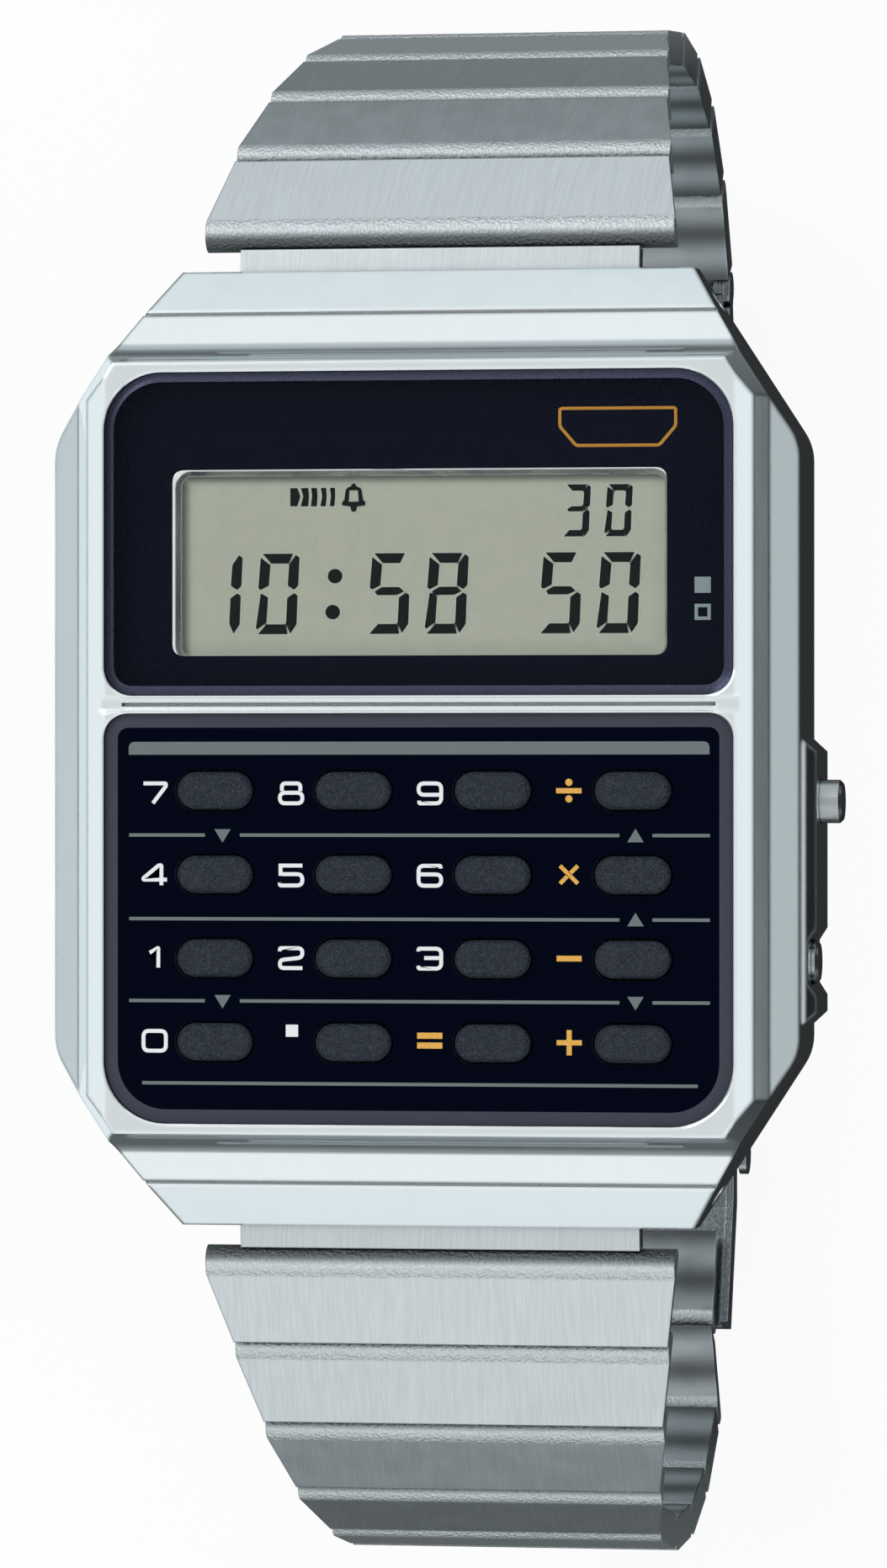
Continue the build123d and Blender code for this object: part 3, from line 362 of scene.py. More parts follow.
def band_steel(node):
    """A folded link: plate brushed lengthwise with a lean, a finely pebbled lip with painted shade on its
    side towards the case, painted shade and highlight bands on the inner side, and painted shade in the gaps.
    """
    made = Shade(f"steel_{node}", BAND_COLOUR, sum(BAND_ROUGHNESS) / 2, 1.0)
    pin = Vector(JOINTS[node]["pos_m"])
    side = 1 if pin.y > 0 else -1
    tilt = side * band_tilt(node)
    start = Matrix.Rotation(tilt, 3, "X") @ pin
    place = made.shift(made.place, move=tuple(-start), turn=(tilt, 0, 0))
    facing = made.shift(made.facing, turn=(tilt, 0, 0), kind="VECTOR")
    outward = made.axis(facing, 2)
    leaning = made.shift(place, turn=(0, 0, GRAIN_LEAN))
    long_grain = made.noise(GRAIN_SIZE, detail=3.0, stretch=GRAIN_DRAWN, place=leaning)
    coarse_grain = made.noise(COARSE_SIZE, detail=2.0, stretch=COARSE_DRAWN, place=leaning)
    brushed = made.sum("ADD", long_grain, made.sum("MULTIPLY", coarse_grain, COARSE_SHARE))
    normal = made.bump(brushed, GRAIN_DEPTH, strength=0.5, under=made.soft_edges(BAND_EDGE))
    worn = made.noise(WEAR_SIZE, detail=3.0)
    roughness = made.span(worn, *NOISE_CORE, *BAND_ROUGHNESS)
    lines = made.span(long_grain, *NOISE_CORE)
    colour = made.mix(lines, *(scaled(BAND_COLOUR, shade) for shade in GRAIN_SHADES))
    along = made.sum("MULTIPLY", made.axis(place, 1), float(side))
    if node.startswith("link"):
        pebbles = made.sum("ADD", made.noise(PEBBLE_SIZE, detail=4.0, rough=0.7), made.cells(PEBBLE_CELL))
        on_lip = made.span(along, *LIP_REACH)
        pebbled = made.bump(pebbles, PEBBLE_DEPTH, strength=0.8, under=made.soft_edges(BAND_EDGE))
        normal = made.mix(on_lip, normal, pebbled, "VECTOR")
        # Painted shade on the side of the lip that faces the case
        turned_in = made.span(made.sum("MULTIPLY", made.axis(facing, 1), float(side)), *LIP_TURNED_IN)
        lip_painted_shade = made.sum("MULTIPLY", on_lip, turned_in)
        colour = made.mix(lip_painted_shade, colour, scaled(BAND_COLOUR, LIP_PAINTED_SHADE))
        roughness = made.sum("ADD", roughness, made.sum("MULTIPLY", on_lip, LIP_DULLNESS))
    # The inner side gets painted ridges, two to a link: bands of painted shade and painted highlight in its
    # colour, standing in for soft rolled ridges
    from_start = made.sum("ADD", along, RIDGE_START * MM)
    wave = made.sum("COSINE", made.sum("MULTIPLY", from_start, 2 * math.pi / (RIDGE_LENGTH * MM)))
    painted_ridge = made.sum("MULTIPLY", made.sum("SUBTRACT", 1.0, wave), 0.5)
    painted_inner_colour = made.mix(painted_ridge, *(scaled(BAND_COLOUR, shade) for shade in PAINTED_RIDGE_SHADES))
    colour = made.mix(made.span(outward, *TURNED_IN), colour, painted_inner_colour)
    # Painted shade in the gaps between links
    colour = made.mix(made.clear_of_painted_shade(GAP_REACH, *GAP_CLEAR), scaled(BAND_COLOUR, GAP_PAINTED_SHADE), colour)
    made.set("Normal", normal)
    made.set("Roughness", roughness)
    made.set("Base Color", colour)
    return made.material


WHITE = (1.0, 1.0, 1.0)
GLASS_INDEX = 1.16
GLASS_BEVEL = (0.97, 0.93)
GLASS_ROUGHNESS = (0.05, 0.3)
FROST_SIZE = 0.05
FROST_COVER = (0.72, 0.82)
FROST_COLOUR = (0.078, 0.083, 0.13)


def clear_glass():
    """Thin clear window: only its reflection is seen, more of it at the slant, with a frosted bevel."""
    made = Shade("window_glass", WHITE, 0.06, 1.0)
    glance = made.node("ShaderNodeFresnel")
    glance.inputs["IOR"].default_value = GLASS_INDEX
    level = made.sum("ABSOLUTE", made.axis(made.facing, 2))
    bevel = made.span(level, *GLASS_BEVEL)
    frost = made.span(made.noise(FROST_SIZE, detail=2.0), *NOISE_CORE, *FROST_COVER)
    made.set("Alpha", made.sum("ADD", glance.outputs[0], made.sum("MULTIPLY", bevel, frost), clamp=True))
    made.set("Base Color", made.mix(bevel, WHITE, FROST_COLOUR))
    made.set("Roughness", made.span(bevel, 0.0, 1.0, *GLASS_ROUGHNESS))
    return made.material


# The border's colour is a painted sheen, lighter than the flat
PANEL_FLAT, PANEL_PAINTED_SHEEN = (0.0006, 0.0018, 0.0075), (0.06, 0.064, 0.086)
PANEL_SLOPE = (0.985, 0.96)
PANEL_ROUGHNESS = (0.16, 0.3)
PANEL_SPECK_SIZE = 0.06
PANEL_SPECK_CORE = (0.2, 0.8)
PANEL_SPECK_DEPTH = 0.002
PANEL_EDGE = 0.05


def panel_plastic():
    """Glossy black panel whose bevelled border has a painted purple-grey sheen: its colour is lighter where
    the faces slope.
    """
    made = Shade("panel_black", PANEL_FLAT, 0.22, 0.0)
    made.set("Specular IOR Level", 0.015)
    slope = made.span(made.axis(made.facing, 2), *PANEL_SLOPE)
    speck = made.noise(PANEL_SPECK_SIZE, detail=3.0)
    made.set("Base Color", made.mix(slope, PANEL_FLAT, PANEL_PAINTED_SHEEN))
    made.set("Roughness", made.span(speck, *PANEL_SPECK_CORE, *PANEL_ROUGHNESS))
    made.set("Normal", made.bump(speck, PANEL_SPECK_DEPTH, strength=0.4, under=made.soft_edges(PANEL_EDGE)))
    return made.material


KEY_CELL = 0.17
KEY_CREASE = (0.0, 0.35)
KEY_GRAIN_SIZE = 0.1
KEY_GRAIN_SHARE = 0.7
KEY_GRAIN_DEPTH = 0.05
KEY_GRAIN_COLOURS = ((0.007, 0.012, 0.022), (0.024, 0.033, 0.05))
KEY_ROUGHNESS = (0.34, 0.54)
KEY_EDGE = 0.08
KEY_SPECK_SIZE = 0.045
KEY_SPECKS = (0.68, 0.78)
KEY_SPECK_COLOUR = (0.13, 0.15, 0.18)


def key_plastic():
    """Dark grey key with a leather-like grain of fine cells and creases, and tiny light specks."""
    made = Shade("key_plastic", (0.025, 0.029, 0.037), 0.42, 0.0)
    cells = made.cells(KEY_CELL, "DISTANCE_TO_EDGE")
    grain = made.noise(KEY_GRAIN_SIZE, detail=4.0, rough=0.65)
    height = made.sum("ADD", made.span(cells, *KEY_CREASE), made.sum("MULTIPLY", grain, KEY_GRAIN_SHARE))
    body = made.mix(made.span(grain, *NOISE_CORE), *KEY_GRAIN_COLOURS)
    speck = made.span(made.noise(KEY_SPECK_SIZE, detail=1.0), *KEY_SPECKS)
    made.set("Base Color", made.mix(speck, body, KEY_SPECK_COLOUR))
    made.set("Roughness", made.span(grain, *WIDE_CORE, *KEY_ROUGHNESS))
    made.set("Specular IOR Level", 0.25)
    made.set("Normal", made.bump(height, KEY_GRAIN_DEPTH, strength=0.9, under=made.soft_edges(KEY_EDGE)))
    return made.material


# The display frame's rim, and the soft shade that it casts on the display, in mm
LCD_RIM = 0.5
SHADE_LAP = 0.06
SHADE_REACH = 0.42
SHADE_COLOUR = (0.14, 0.145, 0.13)
MOTTLE_SIZE = 1.2
MOTTLE_COLOURS = ((0.425, 0.452, 0.370), (0.455, 0.480, 0.395))
MOTTLE_ROUGHNESS = (0.24, 0.34)


def display_glass():
    """Grey-green display: the frame's soft shade at its top and left, and a faint grain."""
    made = Shade("lcd_glass", (0.44, 0.464, 0.381), 0.28, 0.0)
    low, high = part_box("lcd_frame")
    left, top = low[0] + LCD_RIM * MM, high[1] - LCD_RIM * MM
    left_shade = made.span(made.axis(made.place, 0), left - SHADE_LAP * MM, left + SHADE_REACH * MM)
    top_shade = made.span(made.axis(made.place, 1), top + SHADE_LAP * MM, top - SHADE_REACH * MM)
    unshaded = made.sum("MINIMUM", left_shade, top_shade)
    mottle = made.noise(MOTTLE_SIZE, detail=3.0)
    body = made.mix(mottle, *MOTTLE_COLOURS)
    made.set("Base Color", made.mix(unshaded, SHADE_COLOUR, body))
    made.set("Roughness", made.span(mottle, *NOISE_CORE, *MOTTLE_ROUGHNESS))
    made.set("Specular IOR Level", 0.2)
    return made.material


INK_BLOT_SIZE = 0.25
INK_SHADE = 0.88
INK_DEPTH = 0.002
FLAKE_SIZE = 0.05
FLAKES = (0.56, 0.66)
FLAKE_METAL = 0.4


def ink(name, colour, roughness=0.4, glitter=0.0):
    """Printed ink with a slightly uneven coat; gold ink has fine bright flakes."""
    made = Shade(name, colour, roughness, 0.0)
    made.set("Specular IOR Level", 0.03)
    uneven = made.noise(INK_BLOT_SIZE, detail=3.0)
    base = made.mix(uneven, scaled(colour, INK_SHADE), colour)
    if glitter:
        flake = made.span(made.noise(FLAKE_SIZE, detail=1.0), *FLAKES)
        base = made.mix(flake, base, scaled(colour, 1 + glitter))
        made.set("Metallic", made.sum("MULTIPLY", flake, FLAKE_METAL))
    made.set("Base Color", base)
    made.set("Normal", made.bump(uneven, INK_DEPTH, strength=0.3))
    return made.material


TURNED_SHADES = (0.88, 1.08)
TURNED_GLOSS = (0.8, 1.2)
# Painted shade where satin metal is shut in: the occlusion reach in mm, its fade, and its share of the colour
SHUT_IN_REACH = 0.6
SHUT_IN_CLEAR = (0.12, 0.5)
SHUT_IN_PAINTED_SHADE = 0.2


def satin(name, colour, roughness, size, stretch, depth):
    """Turned or brushed metal whose grain runs along one axis, with painted shade where it is shut in."""
    made = Shade(name, colour, roughness, 1.0)
    grain = made.noise(size, detail=3.0, stretch=stretch)
    base_tone = made.mix(grain, *(scaled(colour, shade) for shade in TURNED_SHADES))
    clear = made.clear_of_painted_shade(SHUT_IN_REACH, *SHUT_IN_CLEAR)
    made.set("Base Color", made.mix(clear, scaled(colour, SHUT_IN_PAINTED_SHADE), base_tone))
    made.set("Roughness", made.span(grain, *NOISE_CORE, *(roughness * share for share in TURNED_GLOSS)))
    made.set("Normal", made.bump(grain, depth, strength=0.5, under=made.soft_edges(SHARP_EDGE)))
    return made.material


BOARD_COLOUR = (0.02, 0.12, 0.045)
PALE_BOARD_COLOUR = (0.03, 0.15, 0.06)
TRACK_COLOUR = (0.05, 0.24, 0.1)
TRACK_DEPTH = 0.03


def board_green():
    """Green circuit board: solder mask over a pattern of tracks."""
    made = Shade("circuit_board", BOARD_COLOUR, 0.35, 0.0)
    tracks = made.node("ShaderNodeTexBrick")
    made.plug(tracks.inputs["Vector"], made.shift(made.place, stretch=(1 / MM,) * 3))
    made.plug(tracks.inputs["Color1"], BOARD_COLOUR)
    made.plug(tracks.inputs["Color2"], PALE_BOARD_COLOUR)
    made.plug(tracks.inputs["Mortar"], TRACK_COLOUR)
    tracks.inputs["Scale"].default_value = 1.2
    tracks.inputs["Mortar Size"].default_value = 0.06
    made.set("Base Color", tracks.outputs["Color"])
    made.set("Normal", made.bump(tracks.outputs["Fac"], TRACK_DEPTH, strength=0.5))
    return made.material


# Each material slot of the record, but the bracelet's, which has a material for each piece. Satin metals
# give their colour, roughness, grain size in mm, its stretch along each axis and its depth in mm
MATERIALS = {
    "case_plating": polished("case_plating", (0.80, 0.86, 0.88), roughness=0.1, edge=0.28, seam=0.35),
    "window_glass": clear_glass(),
    "panel_black": panel_plastic(),
    "key_plastic": key_plastic(),
    "keypad_rubber": moulded("keypad_rubber", (0.02, 0.02, 0.022), 0.6),
    "lcd_glass": display_glass(),
    "lcd_frame": polished("lcd_frame", (0.84, 0.88, 0.90), roughness=0.22, edge=0.12),
    "seal_rubber": moulded("seal_rubber", (0.015, 0.015, 0.015), 0.7),
    "module_plastic": moulded("module_plastic", (0.05, 0.052, 0.055), 0.5),
    "circuit_board": board_green(),
    "component_black": moulded("component_black", (0.03, 0.03, 0.032), 0.45),
    "contact_bronze": satin("contact_bronze", (0.72, 0.45, 0.24), 0.3, 0.08, (12, 1, 1), 0.006),
    "battery_steel": satin("battery_steel", (0.66, 0.7, 0.71), 0.28, 0.1, (6, 1, 1), 0.006),
    "spring_steel": satin("spring_steel", (0.57, 0.61, 0.62), 0.28, 0.06, (1, 10, 1), 0.005),
    "back_steel": satin("back_steel", (0.59, 0.63, 0.645), 0.3, 0.07, (30, 1, 1), 0.008),
    "screw_steel": satin("screw_steel", (0.55, 0.59, 0.60), 0.25, 0.05, (6, 1, 1), 0.006),
    "button_steel": satin("button_steel", (0.40, 0.43, 0.44), 0.24, 0.05, (18, 1, 1), 0.006),
    "clasp_steel": satin("clasp_steel", (0.60, 0.65, 0.67), 0.27, 0.07, (1, 30, 1), 0.003),
}

for entry in frame["record"]["subparts"]:
    mesh = frame["nodes"][entry["node"]].data
    mesh.materials.clear()
    banded = entry["material_slot"] == "bracelet_steel"
    mesh.materials.append(band_steel(entry["node"]) if banded else MATERIALS[entry["material_slot"]])


# ---------------------------------------------------------------- prints


# The most of an edge that a rounded corner takes up, and a limit to how far an offset runs out at a sharp one
CORNER_SHARE = 0.499
SHARPEST = 0.35


def corner(before, at, after, radius, steps):
    """Points of a rounded corner."""
    first = Vector(before) - Vector(at)
    second = Vector(after) - Vector(at)
    reach = min(radius, first.length * CORNER_SHARE, second.length * CORNER_SHARE)
    start = Vector(at) + first.normalized() * reach
    end = Vector(at) + second.normalized() * reach
    made = []
    for step in range(steps + 1):
        share = step / steps
        made.append(start * (1 - share) ** 2 + Vector(at) * 2 * share * (1 - share) + end * share ** 2)
    return made


def rounded(points, radius, closed, steps):
    """A path with its corners rounded."""
    flat = [Vector(point) for point in points]
    if radius <= 0:
        return flat
    made = []
    count = len(flat)
    for index, at in enumerate(flat):
        if not closed and index in (0, count - 1):
            made.append(at)
            continue
        made += corner(flat[index - 1], at, flat[(index + 1) % count], radius, steps)
    return made


def offset(points, gap, closed):
    """The path moved sideways by a gap, to the left of its direction."""
    made = []
    count = len(points)
    for index, at in enumerate(points):
        before = points[index - 1] if closed or index else None
        after = points[(index + 1) % count] if closed or index < count - 1 else None
        ways = []
        if before is not None:
            ways.append((at - before).normalized())
        if after is not None:
            ways.append((after - at).normalized())
        sides = [Vector((-way.y, way.x)) for way in ways]
        middle = sum(sides, Vector((0, 0))).normalized()
        made.append(at + middle * gap / max(middle.dot(sides[0]), SHARPEST))
    return made


def circle(x, y, radius, steps):
    """Points round a circle."""
    turns = [2 * math.pi * step / steps for step in range(steps)]
    return [(x + radius * math.cos(turn), y + radius * math.sin(turn)) for turn in turns]


def piece(work, name, material, body):
    """Turns finished geometry into a piece that rides on a body."""
    bmesh.ops.recalc_face_normals(work, faces=work.faces)
    mesh = bpy.data.meshes.new(name)
    work.to_mesh(mesh)
    work.free()
    mesh.materials.append(material)
    made = bpy.data.objects.new(name, mesh)
    bpy.context.scene.collection.objects.link(made)
    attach(made, body)


class Print:
    """Flat raised ink: closed slabs gathered into one mesh."""

    def __init__(self, bottom, height):
        self.work = bmesh.new()
        self.bottom = bottom
        self.top = bottom + height

    def level(self, loop, height):
        return [self.work.verts.new((x * MM, y * MM, height * MM)) for x, y in loop]

    def area(self, loop):
        """A filled outline."""
        low = self.level(loop, self.bottom)
        high = self.level(loop, self.top)
        self.work.faces.new(high)
        self.work.faces.new(list(reversed(low)))
        self.walls(low, high)

    def walls(self, low, high):
        count = len(low)
        for index in range(count):
            after = (index + 1) % count
            self.work.faces.new((low[index], low[after], high[after], high[index]))

    def ring(self, outer, inner):
        """A band between two outlines with the same number of points."""
        outer_low = self.level(outer, self.bottom)
        outer_high = self.level(outer, self.top)
        inner_low = self.level(inner, self.bottom)
        inner_high = self.level(inner, self.top)
        count = len(outer)
        for index in range(count):
            after = (index + 1) % count
            self.work.faces.new((outer_high[index], outer_high[after], inner_high[after], inner_high[index]))
            self.work.faces.new((outer_low[after], outer_low[index], inner_low[index], inner_low[after]))
        self.walls(outer_low, outer_high)
        self.walls(inner_high, inner_low)

    def stroke(self, points, width, radius=0.0, closed=False, steps=6):
        """A line of a width along a path."""
        path = rounded(points, radius, closed, steps)
        left = offset(path, width / 2, closed)
        right = offset(path, -width / 2, closed)
        if closed:
            self.ring(left, right)
        else:
            self.area(left + right[::-1])

    def box(self, left, low, right, high):
        self.area([(left, low), (right, low), (right, high), (left, high)])

    def done(self, name, material):
        piece(self.work, name, material, "case")


BLOCK_STEPS = 8


def block(low, high, radius):
    """A rounded rectangle's outline between two corners."""
    corners = [(low[0], low[1]), (high[0], low[1]), (high[0], high[1]), (low[0], high[1])]
    return rounded(corners, radius, True, BLOCK_STEPS)


# Inks
WHITE_INK = ink("white_ink", (0.86, 0.87, 0.88))
GREY_INK = ink("grey_ink", (0.165, 0.195, 0.195))
PALE_INK = ink("pale_ink", (0.3, 0.375, 0.39))
GOLD_INK = ink("gold_ink", (0.74, 0.4, 0.09), 0.35, glitter=0.45)
BADGE_INK = ink("badge_ink", (0.55, 0.27, 0.045), 0.35, glitter=0.3)
MASK_INK = ink("mask_ink", (0.0012, 0.003, 0.0115), 0.3)
SEGMENT_INK = ink("segment_ink", (0.0055, 0.008, 0.009), 0.35)
HALO_INK = ink("halo_ink", (0.56, 0.59, 0.49), 0.35)

# Heights of the printed faces, their depths under the dial, and the ink's thickness, in mm
WINDOW_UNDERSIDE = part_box("display_window")[0][2] / MM
PANEL_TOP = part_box("keypad_panel")[1][2] / MM
DISPLAY_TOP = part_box("lcd_panel")[1][2] / MM
COAT = 0.012
LEGEND_COAT = COAT + 0.004
HALO_COAT = 0.006
# How far the prints start above a face, or within it, in mm
MASK_LIFT = 0.002
WINDOW_LIFT = 0.02
SEGMENT_LIFT = 0.01
HALO_LIFT = 0.001
PANEL_SINK = 0.002
UNDER_DEPTH = DIAL_LEVEL - WINDOW_UNDERSIDE
PANEL_DEPTH = DIAL_LEVEL - PANEL_TOP
DISPLAY_DEPTH = DIAL_LEVEL - DISPLAY_TOP


def under(column, row):
    return spot(column, row, UNDER_DEPTH)


def on_panel(column, row):
    return spot(column, row, PANEL_DEPTH)


def on_display(column, row):
    return spot(column, row, DISPLAY_DEPTH)


# Where prints lie is given in the photograph's pixels, their widths and rounded corners in mm

# The black mask under the window, with its opening over the display's frame
window_low, window_high = (tuple(c / MM for c in end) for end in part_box("display_window"))
MASK_INSET = 0.25
MASK_ROUND = 1.2
OPENING_LOW, OPENING_HIGH = (203, 779), (791, 557)
OPENING_ROUND = 0.55
mask = Print(WINDOW_UNDERSIDE + MASK_LIFT, COAT)
mask.ring(
    block(
        (window_low[0] + MASK_INSET, window_low[1] + MASK_INSET),
        (window_high[0] - MASK_INSET, window_high[1] - MASK_INSET), MASK_ROUND,
    ),
    block(under(*OPENING_LOW), under(*OPENING_HIGH), OPENING_ROUND),
)
mask.done("window_mask", MASK_INK)

# Window print: the gold badge's bare outline, and the two small squares beside the display, one of them open
BADGE_OUTLINE = ((664.7, 486.7), (801.3, 486.7), (801.3, 508), (782, 530.8), (684, 530.8), (664.7, 508))
BADGE_LINE, BADGE_ROUND = 0.135, 0.12
badge = Print(WINDOW_UNDERSIDE + WINDOW_LIFT, COAT)
badge.stroke([under(*point) for point in BADGE_OUTLINE], BADGE_LINE, BADGE_ROUND, True, 4)
badge.done("badge_outline", BADGE_INK)
SQUARE = ((823.5, 706), (842.6, 706), (842.6, 687), (823.5, 687))
OPEN_SQUARE = ((825.5, 736), (840.6, 736), (840.6, 721), (825.5, 721))
SQUARE_LINE = 0.15
squares = Print(WINDOW_UNDERSIDE + WINDOW_LIFT, COAT)
squares.area([under(*point) for point in SQUARE])
squares.stroke([under(*point) for point in OPEN_SQUARE], SQUARE_LINE, closed=True)
squares.done("window_squares", PALE_INK)

# Display segments of one digit, in pixels from its lower left corner, already leaning
SEGMENTS = {
    "top": ((9.2, 97.2), (45.9, 97.2), (40, 85.4), (19.5, 85.4)),
    "upper_left": ((6.9, 92.8), (18.6, 83.4), (16.5, 59), (6.9, 54), (3.9, 56.1)),
    "lower_left": ((6.9, 50.2), (15.7, 45.2), (13.6, 15), (2.5, 6.8), (1, 9.2)),
    "bottom": ((13.6, 13), (36.2, 13), (39.1, 1.2), (3.3, 1.2)),
    "upper_right": ((48.8, 95.7), (53.2, 92.8), (51.7, 59), (46.8, 54), (39.1, 59), (40.9, 84)),
    "lower_right": ((46.8, 50.2), (50.9, 47.3), (49.7, 13), (42.1, 1.8), (37.1, 14.1), (38.5, 44.4)),
    "middle": ((9.6, 51.7), (18.4, 57), (39, 57), (44.8, 51.7), (36, 47.3), (12.5, 47.3)),
}
RIGHT = ("upper_right", "lower_right")
LEFT = ("upper_left", "lower_left")
DIGIT_SEGMENTS = {
    "0": ("top", "bottom", *LEFT, *RIGHT),
    "1": RIGHT,
    "3": ("top", "middle", "bottom", *RIGHT),
    "5": ("top", "upper_left", "middle", "lower_right", "bottom"),
    "8": ("top", "middle", "bottom", *LEFT, *RIGHT),
}
HALO = 0.055
segments = Print(DISPLAY_TOP + SEGMENT_LIFT, COAT)
halos = Print(DISPLAY_TOP + HALO_LIFT, HALO_COAT)


def wound(loop):
    """The outline run anticlockwise."""
    area = sum(a[0] * b[1] - b[0] * a[1] for a, b in zip(loop, loop[1:] + loop[:1]))
    return loop if area > 0 else loop[::-1]


def lit(loop):
    """A dark segment with its thin pale halo."""
    loop = wound([Vector(point) for point in loop])
    segments.area(loop)
    halos.area(offset(loop, -HALO, True))


def digit(name, column, row, size=1.0):
    """A display digit whose lower left corner is at a pixel."""
    for part in DIGIT_SEGMENTS[name]:
        lit([on_display(column + x * size, row - y * size) for x, y in SEGMENTS[part]])


TIME_ROW = 754.5
TIME = (("1", 234), ("0", 302), ("5", 435.2), ("8", 503.5), ("5", 638.5), ("0", 707))
SMALL_ROW, SMALL_SIZE = 639.3, 0.643
SMALL_NUMBER = (("3", 667), ("0", 716.5))
COLON = ((397.7, 684.3), (394.8, 727.2))
COLON_RADIUS, COLON_STEPS = 8.8, 18
for name, column in TIME:
    digit(name, column, TIME_ROW)
for name, column in SMALL_NUMBER:
    digit(name, column, SMALL_ROW, SMALL_SIZE)
for dot in COLON:
    lit([on_display(*point) for point in circle(*dot, COLON_RADIUS, COLON_STEPS)])
# Sound sign: a block with a bevelled end, four curved bars and a bell's outline
SOUND_BLOCK = ((344.2, 600.8), (344.2, 579), (352.6, 579), (356.4, 589), (352.6, 600.8))
SOUND_TOP, SOUND_MIDDLE, SOUND_LOW = 579, 589, 601
SOUND_BARS = (
    ((356.8, 365.6), (359.7, 366.7), (356.6, 365.6)),
    ((369.2, 376.1), (370.3, 376.8), (368.6, 375.9)),
    ((380.5, 387.0), (382.4, 387.8), (380.1, 386.6)),
    ((391.4, 397.7), (392.9, 397.9), (391.2, 396.9)),
)
lit([on_display(*point) for point in SOUND_BLOCK])
for top, middle, low in SOUND_BARS:
    bar = ((top[0], SOUND_TOP), (top[1], SOUND_TOP), (middle[1], SOUND_MIDDLE),
           (low[1], SOUND_LOW), (low[0], SOUND_LOW), (middle[0], SOUND_MIDDLE))
    lit([on_display(*point) for point in bar])
BELL_MIDDLE = 419.9
HALF_BELL = (
    (0, 573.8), (1.5, 574.4), (3.4, 577.4), (8, 579.4), (9.6, 582.4), (11.1, 593.2), (14, 596.6),
    (13.6, 600.2), (4, 601.4), (2.9, 606.6), (0, 608.1), (0, 595.7), (5.9, 595.7), (5, 582.3), (0, 582.3),
)
for side in (-1, 1):
    segments.area(wound([Vector(on_display(BELL_MIDDLE + side * x, y)) for x, y in HALF_BELL]))
segments.done("display_segments", SEGMENT_INK)
halos.done("display_halos", HALO_INK)

# Keypad's grey print: a bar with its upper corners rounded, broken lines, and triangles that point up or down
BAR_ROUND, BAR_STEPS = 0.5, 6
lines = Print(PANEL_TOP - PANEL_SINK, COAT)
low_left, high_right = on_panel(150.5, 897), on_panel(841, 881.6)
low_right, high_left = (high_right[0], low_left[1]), (low_left[0], high_right[1])
lines.area([
    low_left, low_right,
    *corner(low_right, high_right, high_left, BAR_ROUND, BAR_STEPS),
    *corner(high_right, high_left, low_left, BAR_ROUND, BAR_STEPS),
])
GREY_LINE = 0.15
LINES = (
    (993, ((151, 242), (284, 735), (774, 841.6))),
    (1093, ((151, 735), (774, 841.6))),
    (1191, ((151, 242), (284, 735), (774, 841.6))),
    (1289.4, ((166.7, 827.3),)),
)
for row, runs in LINES:
    for start, end in runs:
        left, right = on_panel(start, row), on_panel(end, row)
        lines.box(left[0], left[1] - GREY_LINE / 2, right[0], left[1] + GREY_LINE / 2)
HALF_WIDE, HALF_TALL = 9.7, 8
TRIANGLES = ((263.2, 994, 1), (754, 993, -1), (754, 1092.5, -1), (263.2, 1192, 1), (754, 1192, 1))
for column, row, way in TRIANGLES:
    base, tip = row - way * HALF_TALL, row + way * HALF_TALL
    points = ((column - HALF_WIDE, base), (column + HALF_WIDE, base), (column, tip))
    lines.area([on_panel(*point) for point in points])
lines.done("keypad_lines", GREY_INK)

# Digits as strokes in a box one wide and one tall: with mitred, sharp or round corners, or as a closed loop
GLYPHS = {
    "0": (("loop", ((0, 0), (1, 0), (1, 1), (0, 1))),),
    "1": (("sharp", ((0.28, 0.74), (0.66, 1), (0.66, 0))),),
    "2": (("round", ((0, 0.84), (0, 1), (1, 1), (1, 0.53), (0, 0.4), (0, 0), (1, 0))),),
    "3": (
        ("round", ((0, 0.86), (0, 1), (1, 1), (1, 0), (0, 0), (0, 0.14))),
        ("sharp", ((0.25, 0.53), (0.915, 0.53))),
    ),
    "4": (
        ("sharp", ((0.8, 0), (0.8, 1), (0.68, 1), (0, 0.36), (0, 0.28), (0.715, 0.28))),
        ("sharp", ((0.885, 0.28), (1.05, 0.28))),
    ),
    "5": (
        ("mitred", ((1, 1), (0.03, 1), (0.03, 0.485))),
        ("round", ((0.115, 0.57), (1, 0.57), (1, 0), (0, 0), (0, 0.15))),
    ),
    "6": (("round", ((0.97, 0.87), (0.97, 1), (0, 1), (0, 0), (1, 0), (1, 0.57), (0.085, 0.57))),),
    "7": (("sharp", ((0, 1), (1, 1), (1, 0.86), (0.42, 0))),),
    "8": (
        ("loop", ((0, 0), (1, 0), (1, 0.53), (0, 0.53))),
        ("round", ((0.09, 0.62), (0.09, 1), (0.91, 1), (0.91, 0.62))),
    ),
    "9": (("round", ((0.03, 0.13), (0.03, 0), (1, 0), (1, 1), (0, 1), (0, 0.43), (0.915, 0.43))),),
}
LEGENDS = (
    ("7", 166, 929), ("8", 329.6, 929), ("9", 495, 929),
    ("4", 166, 1027), ("5", 329.6, 1027), ("6", 495, 1027),
    ("1", 166, 1125.5), ("2", 329.6, 1125.5), ("3", 495, 1125.5),
    ("0", 166, 1225),
)
LEGEND_WIDE, LEGEND_TALL, HALF_LINE = 31.5, 28.3, 2.3
LEGEND_LINE, LEGEND_STEPS = 0.172, 5
CORNERS = {"mitred": 0.0, "sharp": 0.05, "round": 0.25, "loop": 0.25}
POINT_MARK = ((339, 1233.5), (353.7, 1233.5), (353.7, 1219), (339, 1219))
white = Print(PANEL_TOP - PANEL_SINK, LEGEND_COAT)
